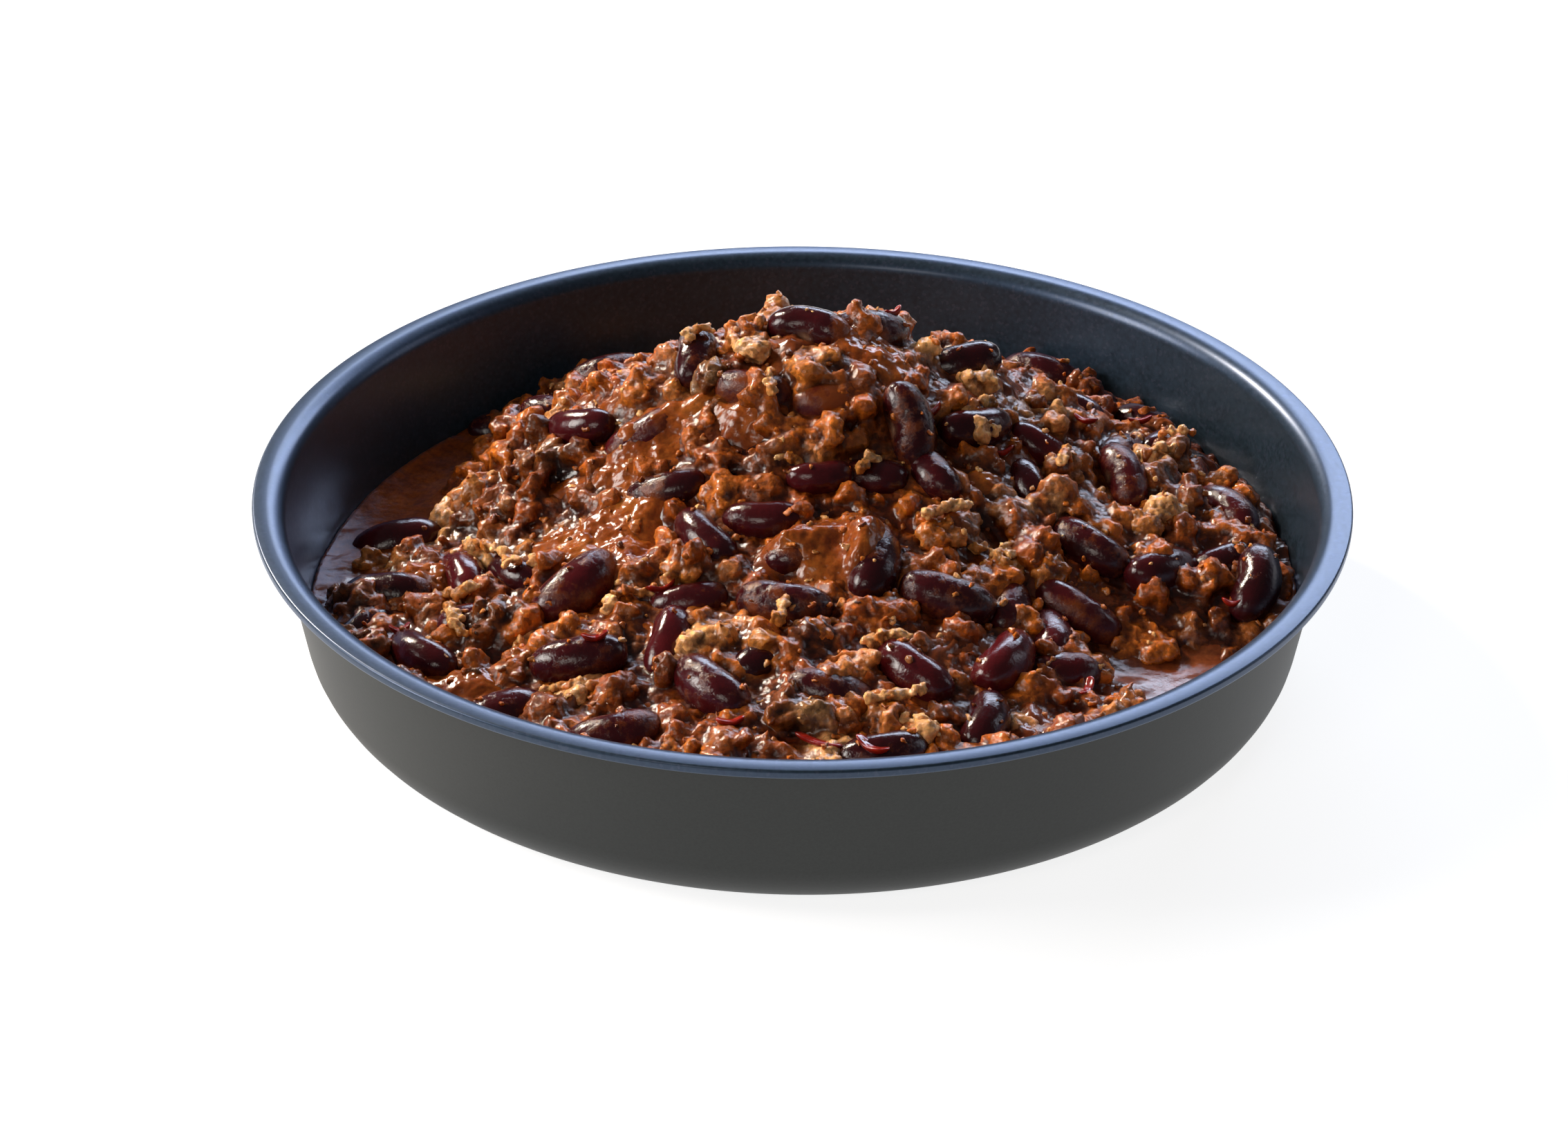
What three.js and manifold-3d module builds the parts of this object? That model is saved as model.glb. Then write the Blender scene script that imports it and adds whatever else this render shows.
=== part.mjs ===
// Chili con carne heaped in a shallow pressed-metal frying dish with a rolled-out lip.
// The dish is one solid, the meat and sauce are one solid out to their uneven outline,
// and each kidney bean that lies on top is a solid of its own in a pocket of the heap.
// Millimetres, +Z up, origin in the middle of the dish's flat underside.
import * as THREE from "three";
import { mergeVertices } from "three/addons/utils/BufferGeometryUtils.js";
import Module from "manifold-3d";

const wasm = await Module();
wasm.setup();

// ---------------------------------------------------------------- driving dimensions
// Dish
const RIM_RADIUS = 100; // to the outer edge of the lip
const DISH_HEIGHT = 35;
const SHEET = 1.6; // thickness of the pressed sheet
const WALL_TOP_RADIUS = 95.2; // outside of the wall, at WALL_TOP_Z
const WALL_TOP_Z = 29.2;
const WALL_LEAN = THREE.MathUtils.degToRad(9.3); // from upright, leaning outwards
const CORNER_RADIUS = 12; // outside, between floor and wall
const LIP_BEND = 3.5; // upper radius of the bend from wall to lip
const DISH_SIDES = 48;
const CORNER_STEPS = 4; // facets in each bend

// Heap of meat and sauce
const SAUCE_LEVEL = 11.5; // of the open sauce, above the underside
const CLEARANCE = 0.3; // between any two solids that touch
const HEAP_CELLS = 20; // across the heap, in each direction
const RELIEF = 1.3; // height of the lumps in the meat
const RELIEF_LENGTH = 17; // from lump to lump
const STEEPNESS = 0.7; // of a mound's flanks

// Beans
const BEAN = { length: 17.2, width: 10.6, thickness: 9.6, bend: 1 };
const BEAN_SIDES = 8;
const BEAN_BANDS = 5;
const BEAN_SINK = 1.8; // of a bean's middle below the heap's surface

// A mound rises by rise at x, y and fades over spreadX and spreadY.
const MOUNDS = [
  { x: -2, y: 33, rise: 24, spreadX: 24, spreadY: 22 },
  { x: 2, y: 4, rise: 19, spreadX: 50, spreadY: 44 },
  { x: -42, y: 32, rise: 12, spreadX: 18, spreadY: 17 },
  { x: 36, y: 40, rise: 12, spreadX: 22, spreadY: 24 },
  { x: 48, y: 70, rise: 3, spreadX: 34, spreadY: 20 },
  { x: 74, y: 10, rise: 6, spreadX: 20, spreadY: 34 },
  { x: 0, y: -60, rise: 4, spreadX: 60, spreadY: 26 },
  { x: -39, y: 66, rise: 6, spreadX: 16, spreadY: 14 },
];

// Where the sauce stands open, the mounds are lower.
const POOLS = [
  { x: -74, y: 42, rise: 8, spreadX: 20, spreadY: 24 },
  { x: 64, y: -32, rise: 9, spreadX: 15, spreadY: 13 },
];

// Each bean: where its middle lies, the heading of its long axis from +X, how far its far
// end is raised, how much larger or smaller it is than the usual bean, and how much higher it lies.
const BEANS = [
  { x: -77, y: 15, heading: 12, lift: 1 },
  { x: -76, y: -9, heading: -8, lift: 1 },
  { x: -63, y: -6, heading: 110, size: 0.9 },
  { x: -52, y: -8, heading: -52, size: 0.85, lift: -0.5 },
  { x: -41, y: -19, heading: 47, size: 1.12, lift: 1.5 },
  { x: -67, y: -32, heading: -48, lift: 0.5 },
  { x: -39, y: -40, heading: 4, lift: 1.5 },
  { x: -24, y: -37, heading: 76, size: 0.88, raise: 14 },
  { x: -15, y: -51, heading: -50, lift: 1.2 },
  { x: -32, y: -61, heading: 15, lift: 0.5 },
  { x: -3, y: -30, heading: -12, lift: 1 },
  { x: -20, y: -25, heading: 2, size: 0.85, lift: -1 },
  { x: -7, y: -8, heading: -6, size: 0.88 },
  { x: 3, y: 0, heading: 8, size: 0.72, lift: 0.5 },
  { x: 19, y: 10, heading: 112, raise: 24, lift: 3 },
  { x: 32, y: 18, heading: 34, size: 0.92, lift: 1 },
  { x: 45, y: 21, heading: -20, size: 0.8 },
  { x: 43, y: 9, heading: -66, size: 0.8 },
  { x: 53, y: -5, heading: -35, size: 0.95, lift: 1 },
  { x: 26, y: -26, heading: -10, size: 1.02, lift: 1.5 },
  { x: 12, y: -20, heading: 84, size: 1.08, lift: 1.5 },
  { x: 0, y: -17, heading: 28, size: 0.85, lift: 0.8 },
  { x: 50, y: -19, heading: -20, lift: -0.5 },
  { x: 82, y: -12, heading: 75, raise: 10, lift: 3 },
  { x: 35, y: -40, heading: 64, lift: 0.8 },
  { x: 20, y: -46, heading: -45, size: 0.95, lift: 0.8 },
  { x: 31, y: -57, heading: 75, size: 0.9 },
  { x: 60, y: 17, heading: 104, size: 0.92, raise: 10, lift: 1.5 },
  { x: -17, y: -12, heading: -58, size: 0.95, lift: 1 },
  { x: -25, y: 3, heading: -6, size: 0.9, lift: 0 },
  { x: -30, y: 16, heading: 14, size: 0.9, lift: 0 },
  { x: 1, y: 30, heading: 160, size: 0.95, lift: -1 },
  { x: -21, y: 29, heading: 86, size: 0.92, raise: 12, lift: 1 },
  { x: -42, y: 24, heading: -34, size: 0.9 },
  { x: -39, y: 66, heading: 8, size: 0.95, lift: 1.5 },
  { x: 48, y: 68, heading: -24, size: 0.95, lift: 2 },
  { x: 70, y: 38, heading: 60, size: 0.9, lift: 1.5 },
];

// ---------------------------------------------------------------- solids
const upright = (geometry) => geometry.rotateX(Math.PI / 2);

function solid(geometry) {
  const bare = new THREE.BufferGeometry()
    .setAttribute("position", geometry.getAttribute("position"))
    .setIndex(geometry.getIndex());
  const merged = mergeVertices(bare, 1e-3);
  const corners = merged.getIndex().array;
  const triangles = [];
  for (let i = 0; i < corners.length; i += 3) {
    const [a, b, c] = corners.slice(i, i + 3);
    if (a !== b && b !== c && c !== a) triangles.push(a, b, c);
  }
  return new wasm.Manifold(
    new wasm.Mesh({
      numProp: 3,
      vertProperties: merged.getAttribute("position").array,
      triVerts: new Uint32Array(triangles),
    }),
  );
}

function geometryOf(body) {
  const { vertProperties, triVerts } = body.getMesh();
  const geometry = new THREE.BufferGeometry()
    .setAttribute("position", new THREE.BufferAttribute(new Float32Array(vertProperties), 3))
    .setIndex(new THREE.BufferAttribute(new Uint32Array(triVerts), 1));
  geometry.computeVertexNormals();
  return geometry;
}

const largest = (body) =>
  body.decompose().reduce((best, part) => (part.volume() > best.volume() ? part : best));

// ---------------------------------------------------------------- dish
const outerWall = (z) => WALL_TOP_RADIUS - (WALL_TOP_Z - z) * Math.tan(WALL_LEAN);
const innerWall = (z) => outerWall(z) - SHEET / Math.cos(WALL_LEAN);
const floorRadius =
  outerWall(CORNER_RADIUS * (1 - Math.sin(WALL_LEAN))) - CORNER_RADIUS * Math.cos(WALL_LEAN);

const lipBendZ = DISH_HEIGHT - LIP_BEND;
const lipBendRadius = innerWall(lipBendZ + LIP_BEND * Math.sin(WALL_LEAN)) + LIP_BEND * Math.cos(WALL_LEAN);

// The section runs from the middle of the underside, up the outside, over the lip and down the inside.
function dishSection() {
  const half = Math.PI / 2;
  const section = new THREE.Path();
  section.moveTo(0, 0);
  section.lineTo(floorRadius, 0);
  section.absarc(floorRadius, CORNER_RADIUS, CORNER_RADIUS, -half, -WALL_LEAN, false);
  section.absarc(lipBendRadius, lipBendZ, LIP_BEND - SHEET, Math.PI - WALL_LEAN, half, true);
  section.lineTo(RIM_RADIUS, DISH_HEIGHT - SHEET);
  section.lineTo(RIM_RADIUS, DISH_HEIGHT);
  section.absarc(lipBendRadius, lipBendZ, LIP_BEND, half, Math.PI - WALL_LEAN, false);
  section.absarc(floorRadius, CORNER_RADIUS, CORNER_RADIUS - SHEET, -WALL_LEAN, -half, true);
  section.lineTo(0, SHEET);
  return section.getPoints(CORNER_STEPS / 2);
}

function dish() {
  return upright(new THREE.LatheGeometry(dishSection(), DISH_SIDES));
}

// ---------------------------------------------------------------- heap
const fading = (mounds, x, y) =>
  mounds.reduce((sum, m) => {
    const away = ((x - m.x) / m.spreadX) ** 2 + ((y - m.y) / m.spreadY) ** 2;
    return sum + m.rise * Math.exp(-STEEPNESS * away);
  }, 0);

function lumps(x, y) {
  const turn = (2 * Math.PI) / RELIEF_LENGTH;
  const warped = x + 4 * Math.sin(y * 0.13 + 1);
  return Math.sin(warped * turn) * Math.sin((y + 3 * Math.sin(x * 0.11)) * turn);
}

function heapHeight(x, y) {
  const rise = Math.max(0, fading(MOUNDS, x, y) - fading(POOLS, x, y));
  const lumpy = Math.min(1, rise / 5);
  return SAUCE_LEVEL + rise + RELIEF * lumpy * lumps(x, y);
}

// The heap's edge lies against the wall at whatever height its surface meets it.
function edgeRadius(way) {
  const flats = Math.cos(Math.PI / DISH_SIDES);
  let z = SAUCE_LEVEL;
  let radius = 0;
  for (let pass = 0; pass < 3; pass++) {
    radius = innerWall(z) * flats - CLEARANCE;
    z = heapHeight(radius * Math.cos(way), radius * Math.sin(way));
  }
  return radius;
}

// A square grid drawn out to a disc: its rows bow outwards until the outermost lies on the edge.
function onHeap(column, row) {
  const u = (2 * column) / HEAP_CELLS - 1;
  const v = (2 * row) / HEAP_CELLS - 1;
  const eighth = Math.PI / 4;
  let reach = v;
  let way = v === 0 ? 0 : 2 * eighth - eighth * (u / v);
  if (Math.abs(u) > Math.abs(v)) {
    reach = u;
    way = eighth * (v / u);
  }
  const radius = reach * edgeRadius(reach < 0 ? way + Math.PI : way);
  const x = radius * Math.cos(way);
  const y = radius * Math.sin(way);
  return [x, y, heapHeight(x, y)];
}

// The heap fills the dish from just above its floor to the uneven surface.
function heap() {
  const wide = HEAP_CELLS + 1;
  const points = [];
  const triangles = [];
  for (let row = 0; row < wide; row++) {
    for (let column = 0; column < wide; column++) points.push(onHeap(column, row));
  }
  for (let row = 0; row < HEAP_CELLS; row++) {
    for (let column = 0; column < HEAP_CELLS; column++) {
      const a = row * wide + column;
      triangles.push(a, a + 1, a + wide + 1, a, a + wide + 1, a + wide);
    }
  }

  let ring = [];
  for (let i = 0; i < HEAP_CELLS; i++) ring.push(i);
  for (let i = 0; i < HEAP_CELLS; i++) ring.push(i * wide + HEAP_CELLS);
  for (let i = HEAP_CELLS; i > 0; i--) ring.push(HEAP_CELLS * wide + i);
  for (let i = HEAP_CELLS; i > 0; i--) ring.push(i * wide);
  const ways = ring.map((i) => Math.atan2(points[i][1], points[i][0]));

  const inside = CORNER_RADIUS - SHEET - CLEARANCE;
  for (let step = 0; step <= CORNER_STEPS; step++) {
    const turn = -WALL_LEAN - ((Math.PI / 2 - WALL_LEAN) * step) / CORNER_STEPS;
    const radius = (floorRadius + inside * Math.cos(turn)) * Math.cos(Math.PI / DISH_SIDES);
    const lower = ways.map((way) => {
      const z = CORNER_RADIUS + inside * Math.sin(turn);
      return points.push([radius * Math.cos(way), radius * Math.sin(way), z]) - 1;
    });
    ring.forEach((upper, i) => {
      const next = (i + 1) % ring.length;
      triangles.push(upper, lower[i], lower[next], upper, lower[next], ring[next]);
    });
    ring = lower;
  }
  const middle = points.push([0, 0, SHEET + CLEARANCE]) - 1;
  ring.forEach((corner, i) => triangles.push(middle, ring[(i + 1) % ring.length], corner));

  return new THREE.BufferGeometry()
    .setAttribute("position", new THREE.BufferAttribute(new Float32Array(points.flat()), 3))
    .setIndex(triangles);
}

// ---------------------------------------------------------------- beans
// A ball drawn out to the bean's sizes, larger by grow all round, and bent about its hollow side.
function beanShape(size, grow) {
  const shape = new THREE.SphereGeometry(1, BEAN_SIDES, BEAN_BANDS).rotateZ(Math.PI / 2);
  const spots = shape.getAttribute("position");
  for (let i = 0; i < spots.count; i++) {
    const along = spots.getX(i);
    const hollow = spots.getY(i) > 0 ? 1 - 0.15 * Math.exp(-((along / 0.4) ** 2)) : 1;
    spots.setXYZ(
      i,
      along * ((size * BEAN.length) / 2 + grow),
      spots.getY(i) * hollow * ((size * BEAN.width) / 2 + grow) + size * BEAN.bend * (along ** 2 - 0.4),
      spots.getZ(i) * ((size * BEAN.thickness) / 2 + grow),
    );
  }
  return shape;
}

// A bean lies along the slope of the heap beneath it.
function beanPlace({ x, y, heading, raise = 0, lift = 0 }) {
  const reach = 5;
  const turn = THREE.MathUtils.degToRad(heading);
  const along = (way, distance) =>
    fading(MOUNDS, x + distance * Math.cos(way), y + distance * Math.sin(way)) -
    fading(POOLS, x + distance * Math.cos(way), y + distance * Math.sin(way));
  const slope = (way) => Math.atan2(along(way, reach) - along(way, -reach), 2 * reach);
  const pitch = slope(turn) + THREE.MathUtils.degToRad(raise);
  const roll = slope(turn + Math.PI / 2);
  const base = SAUCE_LEVEL + Math.max(0, along(0, 0)) + lift - BEAN_SINK;
  return { position: [x, y, base], rotation: new THREE.Euler(roll, -pitch, turn, "ZYX") };
}

function placed(shape, { position, rotation }) {
  return shape.applyMatrix4(
    new THREE.Matrix4().makeRotationFromEuler(rotation).setPosition(...position),
  );
}

// ---------------------------------------------------------------- the whole
const food = new THREE.MeshStandardMaterial({ color: 0x7d421f, roughness: 0.35, metalness: 0 });
const skin = new THREE.MeshStandardMaterial({ color: 0x3d0f14, roughness: 0.25, metalness: 0 });
const coated = new THREE.MeshStandardMaterial({ color: 0x3a3c3b, roughness: 0.5, metalness: 0.3 });

const chili = new THREE.Group();

function add(name, geometry, material, parent = chili) {
  const mesh = new THREE.Mesh(geometry, material);
  mesh.name = name;
  parent.add(mesh);
  return mesh;
}

add("dish", geometryOf(solid(dish())), coated);

let meat = solid(heap());
for (const bean of BEANS) {
  meat = meat.subtract(solid(placed(beanShape(bean.size ?? 1, CLEARANCE), beanPlace(bean))));
}
add("chili", geometryOf(largest(meat)), food);

const beans = new THREE.Group();
chili.add(beans);
BEANS.forEach((bean, i) => {
  const { position, rotation } = beanPlace(bean);
  const name = `bean_${String(i + 1).padStart(2, "0")}`;
  const mesh = add(name, beanShape(bean.size ?? 1, 0), skin, beans);
  mesh.position.set(...position);
  mesh.rotation.copy(rotation);
});

export default chili;
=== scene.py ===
"""Chili con carne heaped in a round shallow frying dish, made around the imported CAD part.

Lengths are millimetres in the making and metres in Blender. +Z is up and the origin is the
middle of the dish's underside, as in the CAD part.
"""

import contextlib
import functools
import math

import bmesh
import bpy
import numpy as np
from mathutils import Matrix, Vector, noise
from mathutils.bvhtree import BVHTree
from mathutils.kdtree import KDTree


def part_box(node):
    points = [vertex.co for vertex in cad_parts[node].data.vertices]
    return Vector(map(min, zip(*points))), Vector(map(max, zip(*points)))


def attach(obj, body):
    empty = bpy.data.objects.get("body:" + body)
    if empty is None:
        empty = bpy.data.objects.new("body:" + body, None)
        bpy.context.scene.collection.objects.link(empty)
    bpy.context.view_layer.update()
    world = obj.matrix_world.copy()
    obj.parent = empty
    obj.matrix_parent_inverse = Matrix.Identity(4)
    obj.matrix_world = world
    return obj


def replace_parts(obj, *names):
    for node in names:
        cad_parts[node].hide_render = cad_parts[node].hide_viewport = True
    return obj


bl_info = {
    "name": "Chili con carne in its dish",
    "version": (1, 0, 0),
    "blender": (4, 5, 0),
    "location": "3D View > Sidebar > Chili",
    "description": "Makes a dish of chili con carne around its CAD part",
    "category": "Add Mesh",
}

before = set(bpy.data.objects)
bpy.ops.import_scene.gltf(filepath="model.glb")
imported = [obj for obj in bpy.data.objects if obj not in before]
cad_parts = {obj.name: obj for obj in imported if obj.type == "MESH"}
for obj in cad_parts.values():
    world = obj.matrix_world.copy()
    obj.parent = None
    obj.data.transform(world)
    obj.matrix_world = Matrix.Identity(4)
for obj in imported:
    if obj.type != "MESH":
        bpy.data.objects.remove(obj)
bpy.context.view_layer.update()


MM = 0.001
BEANS = sorted(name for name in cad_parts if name.startswith("bean"))

# ------------------------------------------------------------------ what lies where, in mm

# Where the sauce lies over the meat as a smooth sheet: x, y, half length, half width, heading, thickness.
GLAZED = [
    (-36, -4, 13, 7, 20, 0.9), (-29, 13, 13, 7, 15, 0.9), (-14, 11, 11, 5, -10, 0.9),
    (-31, -13, 7, 5, 60, 0.9), (8, -17, 12, 9, 60, 2.6), (-2, -17, 7, 5, 20, 1.6),
    (14, 25, 10, 7, -30, 1.6), (-70, -6, 5, 6, 0, 0.9), (6, 13, 8, 4, -10, 0.9),
    (-58, -42, 5, 7, 90, 0.9), (30, 4, 8, 4, 10, 0.9),
]

# Beans mostly sunk in the sauce and meat: x, y, heading, how far the middle lies below the surface.
SUNK_BEANS = [
    (-80, -20, 60, 2.2), (-52, -52, 20, 2.4), (12, 3, -20, 2.6), (-9, 17, -10, 2.6), (5, 14, 10, 3.0),
    (37, -23, 80, 1.8), (44, -27, 100, 1.6), (46, -37, 10, 1.8), (5, -52, 0, 2.6), (14, -67, 15, 2.0),
    (61, 31, 60, 2.2), (78, -2, 30, 2.4), (80, 14, 120, 1.8), (24, 4, -60, 2.0), (12, 35, 20, 2.4),
    (-20, 52, 40, 2.4), (22, 60, -20, 2.2), (-60, 62, 30, 2.6), (64, -58, 35, 2.8), (-8, -76, -5, 2.6),
    (30, 36, 10, 2.2), (52, 48, -40, 2.2), (-48, 48, -15, 2.4), (5, 72, 10, 2.2), (66, -8, 40, 2.4),
    (-58, -22, 30, 2.0), (68, 52, 130, 2.2), (-6, -42, 40, 2.6),
]

# Larger lumps of meat that stand out of the heap: x, y, size, how far they stand up, paleness.
BIG_LUMPS = [
    (15, -58, 8, 1.5, 0.55), (22, -62, 6, 1.0, 0.6), (8, -60, 6, 0.5, 0.4), (33, 16, 5.5, 3.0, 0.45),
    (25, -12, 6, 2.0, 0.7), (36, -15, 7, 1.5, 0.6), (45, -14, 6, 1.0, 0.5), (67, 7, 6, 1.5, 0.35),
    (71, 30, 7, 4.0, 0.55), (66, 26, 6, 2.0, 0.5), (-67, 20, 9, 1.5, 0.2), (-52, 20, 9, 3.0, 0.3),
    (-56, 10, 7, 1.5, 0.25), (-46, 30, 6, 2.5, 0.35), (-11, 30, 8, 2.5, 0.5), (-9, 24, 6, 1.5, 0.45),
    (-17, 20, 6, 1.5, 0.4), (20, 22, 6, 0.5, 0.4), (-38, 34, 6, 1.5, 0.3), (33, 30, 7, 1.5, 0.4),
    (44, 33, 6, 1.0, 0.35), (-39, -50, 6, 1.5, 0.75), (-33, -27, 6, 1.0, 0.65), (2, -39, 5, 1.5, 0.5),
    (58, -45, 7, 1.0, 0.4), (38, -66, 7, 1.0, 0.3), (-20, -66, 7, 0.5, 0.3), (48, 14, 5.5, 2.0, 0.5),
    (62, 2, 6, 1.0, 0.3), (-48, -30, 6, 0.0, 0.3), (80, 24, 6, 2.0, 0.4), (55, 58, 7, 1.0, 0.3),
    (-18, 44, 7, 1.0, 0.35), (10, 50, 8, 1.0, 0.3), (-83, -7, 7, 1.0, 0.15), (-81, 6, 6, 0.5, 0.2),
    (-85, -17, 6, 0.5, 0.15), (-76, -30, 7, 1.0, 0.2), (-70, -43, 7, 1.0, 0.25), (-78, 14, 6, 0.5, 0.2),
    (-73, -13, 6, 1.0, 0.2), (-61, -55, 6, 1.0, 0.3),
]

# Pale dry crumbs on top: x, y, length, heading.
PALE_CRUMBS = [
    (-58, -2, 9, -30), (-56, -5, 7, -50), (-52, -11, 5, 10), (-63, -15, 7, 0), (-60, -16, 5, 40),
    (-62, -27, 10, -70), (-41, -47, 8, 20), (-37, -49, 6, -10), (-30, -25, 7, 10), (26, -9, 8, 20),
    (34, -13, 8, -20), (37, -11, 5, 50), (-3, 2, 4, 0), (12, 1, 4, 60), (15, -41, 7, 5), (-3, -35, 9, 75),
    (-6, 14, 6, 90), (49, 14, 6, 80), (33, 21, 7, 30), (16, -56, 9, 15), (19, -60, 7, -30),
    (72, 32, 6, 0), (68, 26, 5, 40), (-20, 30, 5, 30),
]

# Bits of red skin: x, y, length, width, heading, how steeply it stands.
RED_BITS = [
    (-25, -24, 6, 3.4, 35, 35), (-62, 3, 6, 2.5, 60, 40), (3, -66, 9, 2.4, -28, 20),
    (12, -70, 7, 2.2, -40, 15), (37, 14, 5, 2.2, 10, 20), (24, 16, 7, 2.6, 60, 60),
    (78, -18, 4, 2.0, 0, 20), (-36, -41, 5, 2.0, 20, 15), (54, 30, 5, 2.4, -30, 20),
    (17, 38, 4, 2.0, 40, 30), (50, -44, 6, 1.8, 70, 15), (-72, -26, 4, 1.6, 20, 10),
    (66, 44, 5, 2.0, 15, 20), (-12, -62, 5, 1.6, 10, 10),
]

# How finely the round dish is turned.
DISH_SIDES = 256

# How far from the middle the clumps of mince, their chips and the fine crumbs may lie, in mm.
CLUMP_REACH, CHIP_REACH, CRUMB_REACH = 88.0, 89.0, 87.0

# In granules: clump spacing, chip size and how far a clump spreads, with how often each spread comes up.
CLUMP_SPACING, CHIP_SIZE = 2.6, 0.8
CLUMP_SPREADS, SPREAD_SHARES = [0.9, 1.5, 2.3], [0.35, 0.35, 0.3]

# What the meat's colour is multiplied by in its hollows, darker and redder for pooled sauce and for painted
# shade, and where it stands out, lighter for drier meat and for painted light on the tops.
HOLLOW_SAUCE_AND_SHADE_TINT, PROUD_DRY_AND_LIT_TINT = np.array([0.2, 0.11, 0.06]), np.array([1.28, 1.18, 1.05])

# What starts each piece's random draws.
SEEDS = {"beans": 11, "sunk_beans": 23, "crumbs": 31, "red_bits": 41}

# The most triangles that each scattered piece keeps.
MOST_TRIANGLES = {"minced_meat": 192000, "meat_lumps": 180000, "pale_crumbs": 90000, "fine_crumbs": 150000}


# ------------------------------------------------------------------ settings


def linear(code, alpha=1.0):
    """An sRGB hex colour as linear values."""
    parts = [int(code[i : i + 2], 16) / 255 for i in (1, 3, 5)]
    return tuple(c / 12.92 if c <= 0.04045 else ((c + 0.055) / 1.055) ** 2.4 for c in parts) + (alpha,)


def mm_setting(name, description, default, low=0.1, high=1000.0):
    """A setting for a length in mm."""
    told = f"{description}, in mm"
    return bpy.props.FloatProperty(name=name, description=told, default=default, min=low, max=high)


def colour_setting(name, description, code):
    """A setting for a colour, from its sRGB hex."""
    return bpy.props.FloatVectorProperty(
        name=name, description=description, subtype="COLOR", size=3, min=0, max=1, default=linear(code)[:3]
    )


class ChiliSettings(bpy.types.PropertyGroup):
    """Sizes and colours of the food."""

    granule: mm_setting("Granule", "Usual size across of one bit of mince", 3.2, 1.5, 6)
    sauce_depth: mm_setting("Sauce depth", "How far the sauce lies below the tops of the meat", 2.2, 0.5, 5)
    grain: mm_setting("Grain", "Size of the smallest modelled detail of the meat", 0.62, 0.5, 2)
    orange: colour_setting("Orange", "Meat soaked in sauce", "#b0601a")
    rust: colour_setting("Rust", "Meat in sauce, darker", "#8f4610")
    brown: colour_setting("Brown", "Browned meat", "#6b3410")
    dark: colour_setting("Dark", "The darkest, fried bits", "#3c1c0a")
    tan: colour_setting("Tan", "Meat half clear of the sauce", "#b27436")
    pale: colour_setting("Pale", "Dry meat on top", "#deac74")
    smear: colour_setting("Smear", "Sauce left on the beans", "#7c3a16")
    seed: bpy.props.IntProperty(name="Seed", description="Chooses how the mince falls", default=7)


class DishSettings(bpy.types.PropertyGroup):
    """Sizes of the dish."""

    sheet: mm_setting("Sheet", "Thickness of the metal", 1.6)
    lean: bpy.props.FloatProperty(
        name="Wall lean", description="Of the wall from upright", default=math.radians(9.3), subtype="ANGLE"
    )
    wall_radius: mm_setting("Wall radius", "Outside, below the lip", 95.2)
    wall_height: mm_setting("Wall height", "Where the wall radius is measured", 29.2)
    corner: mm_setting("Corner", "Outer radius between floor and wall", 12)
    lip_bend: mm_setting("Lip bend", "Upper radius from wall to lip", 3.5)
    lip_edge: mm_setting("Lip edge", "Rounding of the lip's edges", 0.45)


# ------------------------------------------------------------------ small tools


def add(tree, kind, settings=None, links=None):
    """Adds a node, gives its properties, sockets and colour stops their values, and links its inputs.
    A link may name a node, which stands for that node's first output in use."""
    made = tree.nodes.new("ShaderNode" + kind)
    for name, value in (settings or {}).items():
        if name == "stops":
            put_stops(made.color_ramp, value)
        elif isinstance(name, int) or name in made.inputs:
            made.inputs[name].default_value = linear(value) if isinstance(value, str) else value
        else:
            setattr(made, name, value)
    for name, source in (links or {}).items():
        if isinstance(source, bpy.types.Node):
            source = next(output for output in source.outputs if output.enabled)
        tree.links.new(source, made.inputs[name])
    return made


def put_stops(band, stops):
    """Sets a ramp's (place, tone) stops, where a tone is a hex colour or a grey."""
    while len(band.elements) < len(stops):
        band.elements.new(0.5)
    for element, (place, tone) in zip(band.elements, stops):
        element.position = place
        element.color = linear(tone) if isinstance(tone, str) else (tone, tone, tone, 1)


def per_mm(size):
    """The scale that gives a pattern features of this size in mm."""
    return 1 / (size * MM)


def new_material(name):
    """An empty material, a short way to add its nodes, and the object's own coordinates."""
    material = bpy.data.materials.new(name)
    material.use_nodes = True
    material.node_tree.nodes.clear()
    node = functools.partial(add, material.node_tree)
    return material, node, node("TexCoord").outputs["Object"]


def surfaced(material, look, links):
    """Gives the material its shader, with these values and these nodes linked to it."""
    shader = add(material.node_tree, "BsdfPrincipled", look, links)
    add(material.node_tree, "OutputMaterial", links={"Surface": shader})
    return material


def placed(name, data):
    """An object in the scene that holds this mesh, light or camera."""
    made = bpy.data.objects.new(name, data)
    bpy.context.scene.collection.objects.link(made)
    return made


def mesh_object(name, points, faces, material=None, smooth=True):
    """An object from points in mm and faces of one size each."""
    mesh = bpy.data.meshes.new(name)
    faces = np.asarray(faces, np.int32)
    mesh.vertices.add(len(points))
    mesh.vertices.foreach_set("co", (np.asarray(points, np.float64) * MM).astype(np.float32).ravel())
    mesh.loops.add(faces.size)
    mesh.loops.foreach_set("vertex_index", faces.ravel())
    mesh.polygons.add(len(faces))
    mesh.polygons.foreach_set("loop_start", np.arange(0, faces.size, faces.shape[1], dtype=np.int32))
    mesh.update(calc_edges=True)
    mesh.validate()
    if material:
        mesh.materials.append(material)
    if smooth:
        mesh.shade_smooth()
    return placed(name, mesh)


def poly_mesh(name, points, faces):
    """A smooth mesh from points in mm and faces of any size."""
    mesh = bpy.data.meshes.new(name)
    mesh.from_pydata((points * MM).tolist(), [], faces)
    mesh.update()
    mesh.shade_smooth()
    return mesh


def values_of(items, key, size, kind=np.float32):
    """One property of all of a mesh's items, in rows of this size."""
    values = np.zeros(len(items) * size, kind)
    items.foreach_get(key, values)
    return values.reshape(-1, size)


def points_of(mesh):
    return values_of(mesh.vertices, "co", 3).astype(np.float64) / MM


def normals_of(mesh):
    return values_of(mesh.vertices, "normal", 3).astype(np.float64)


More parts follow.
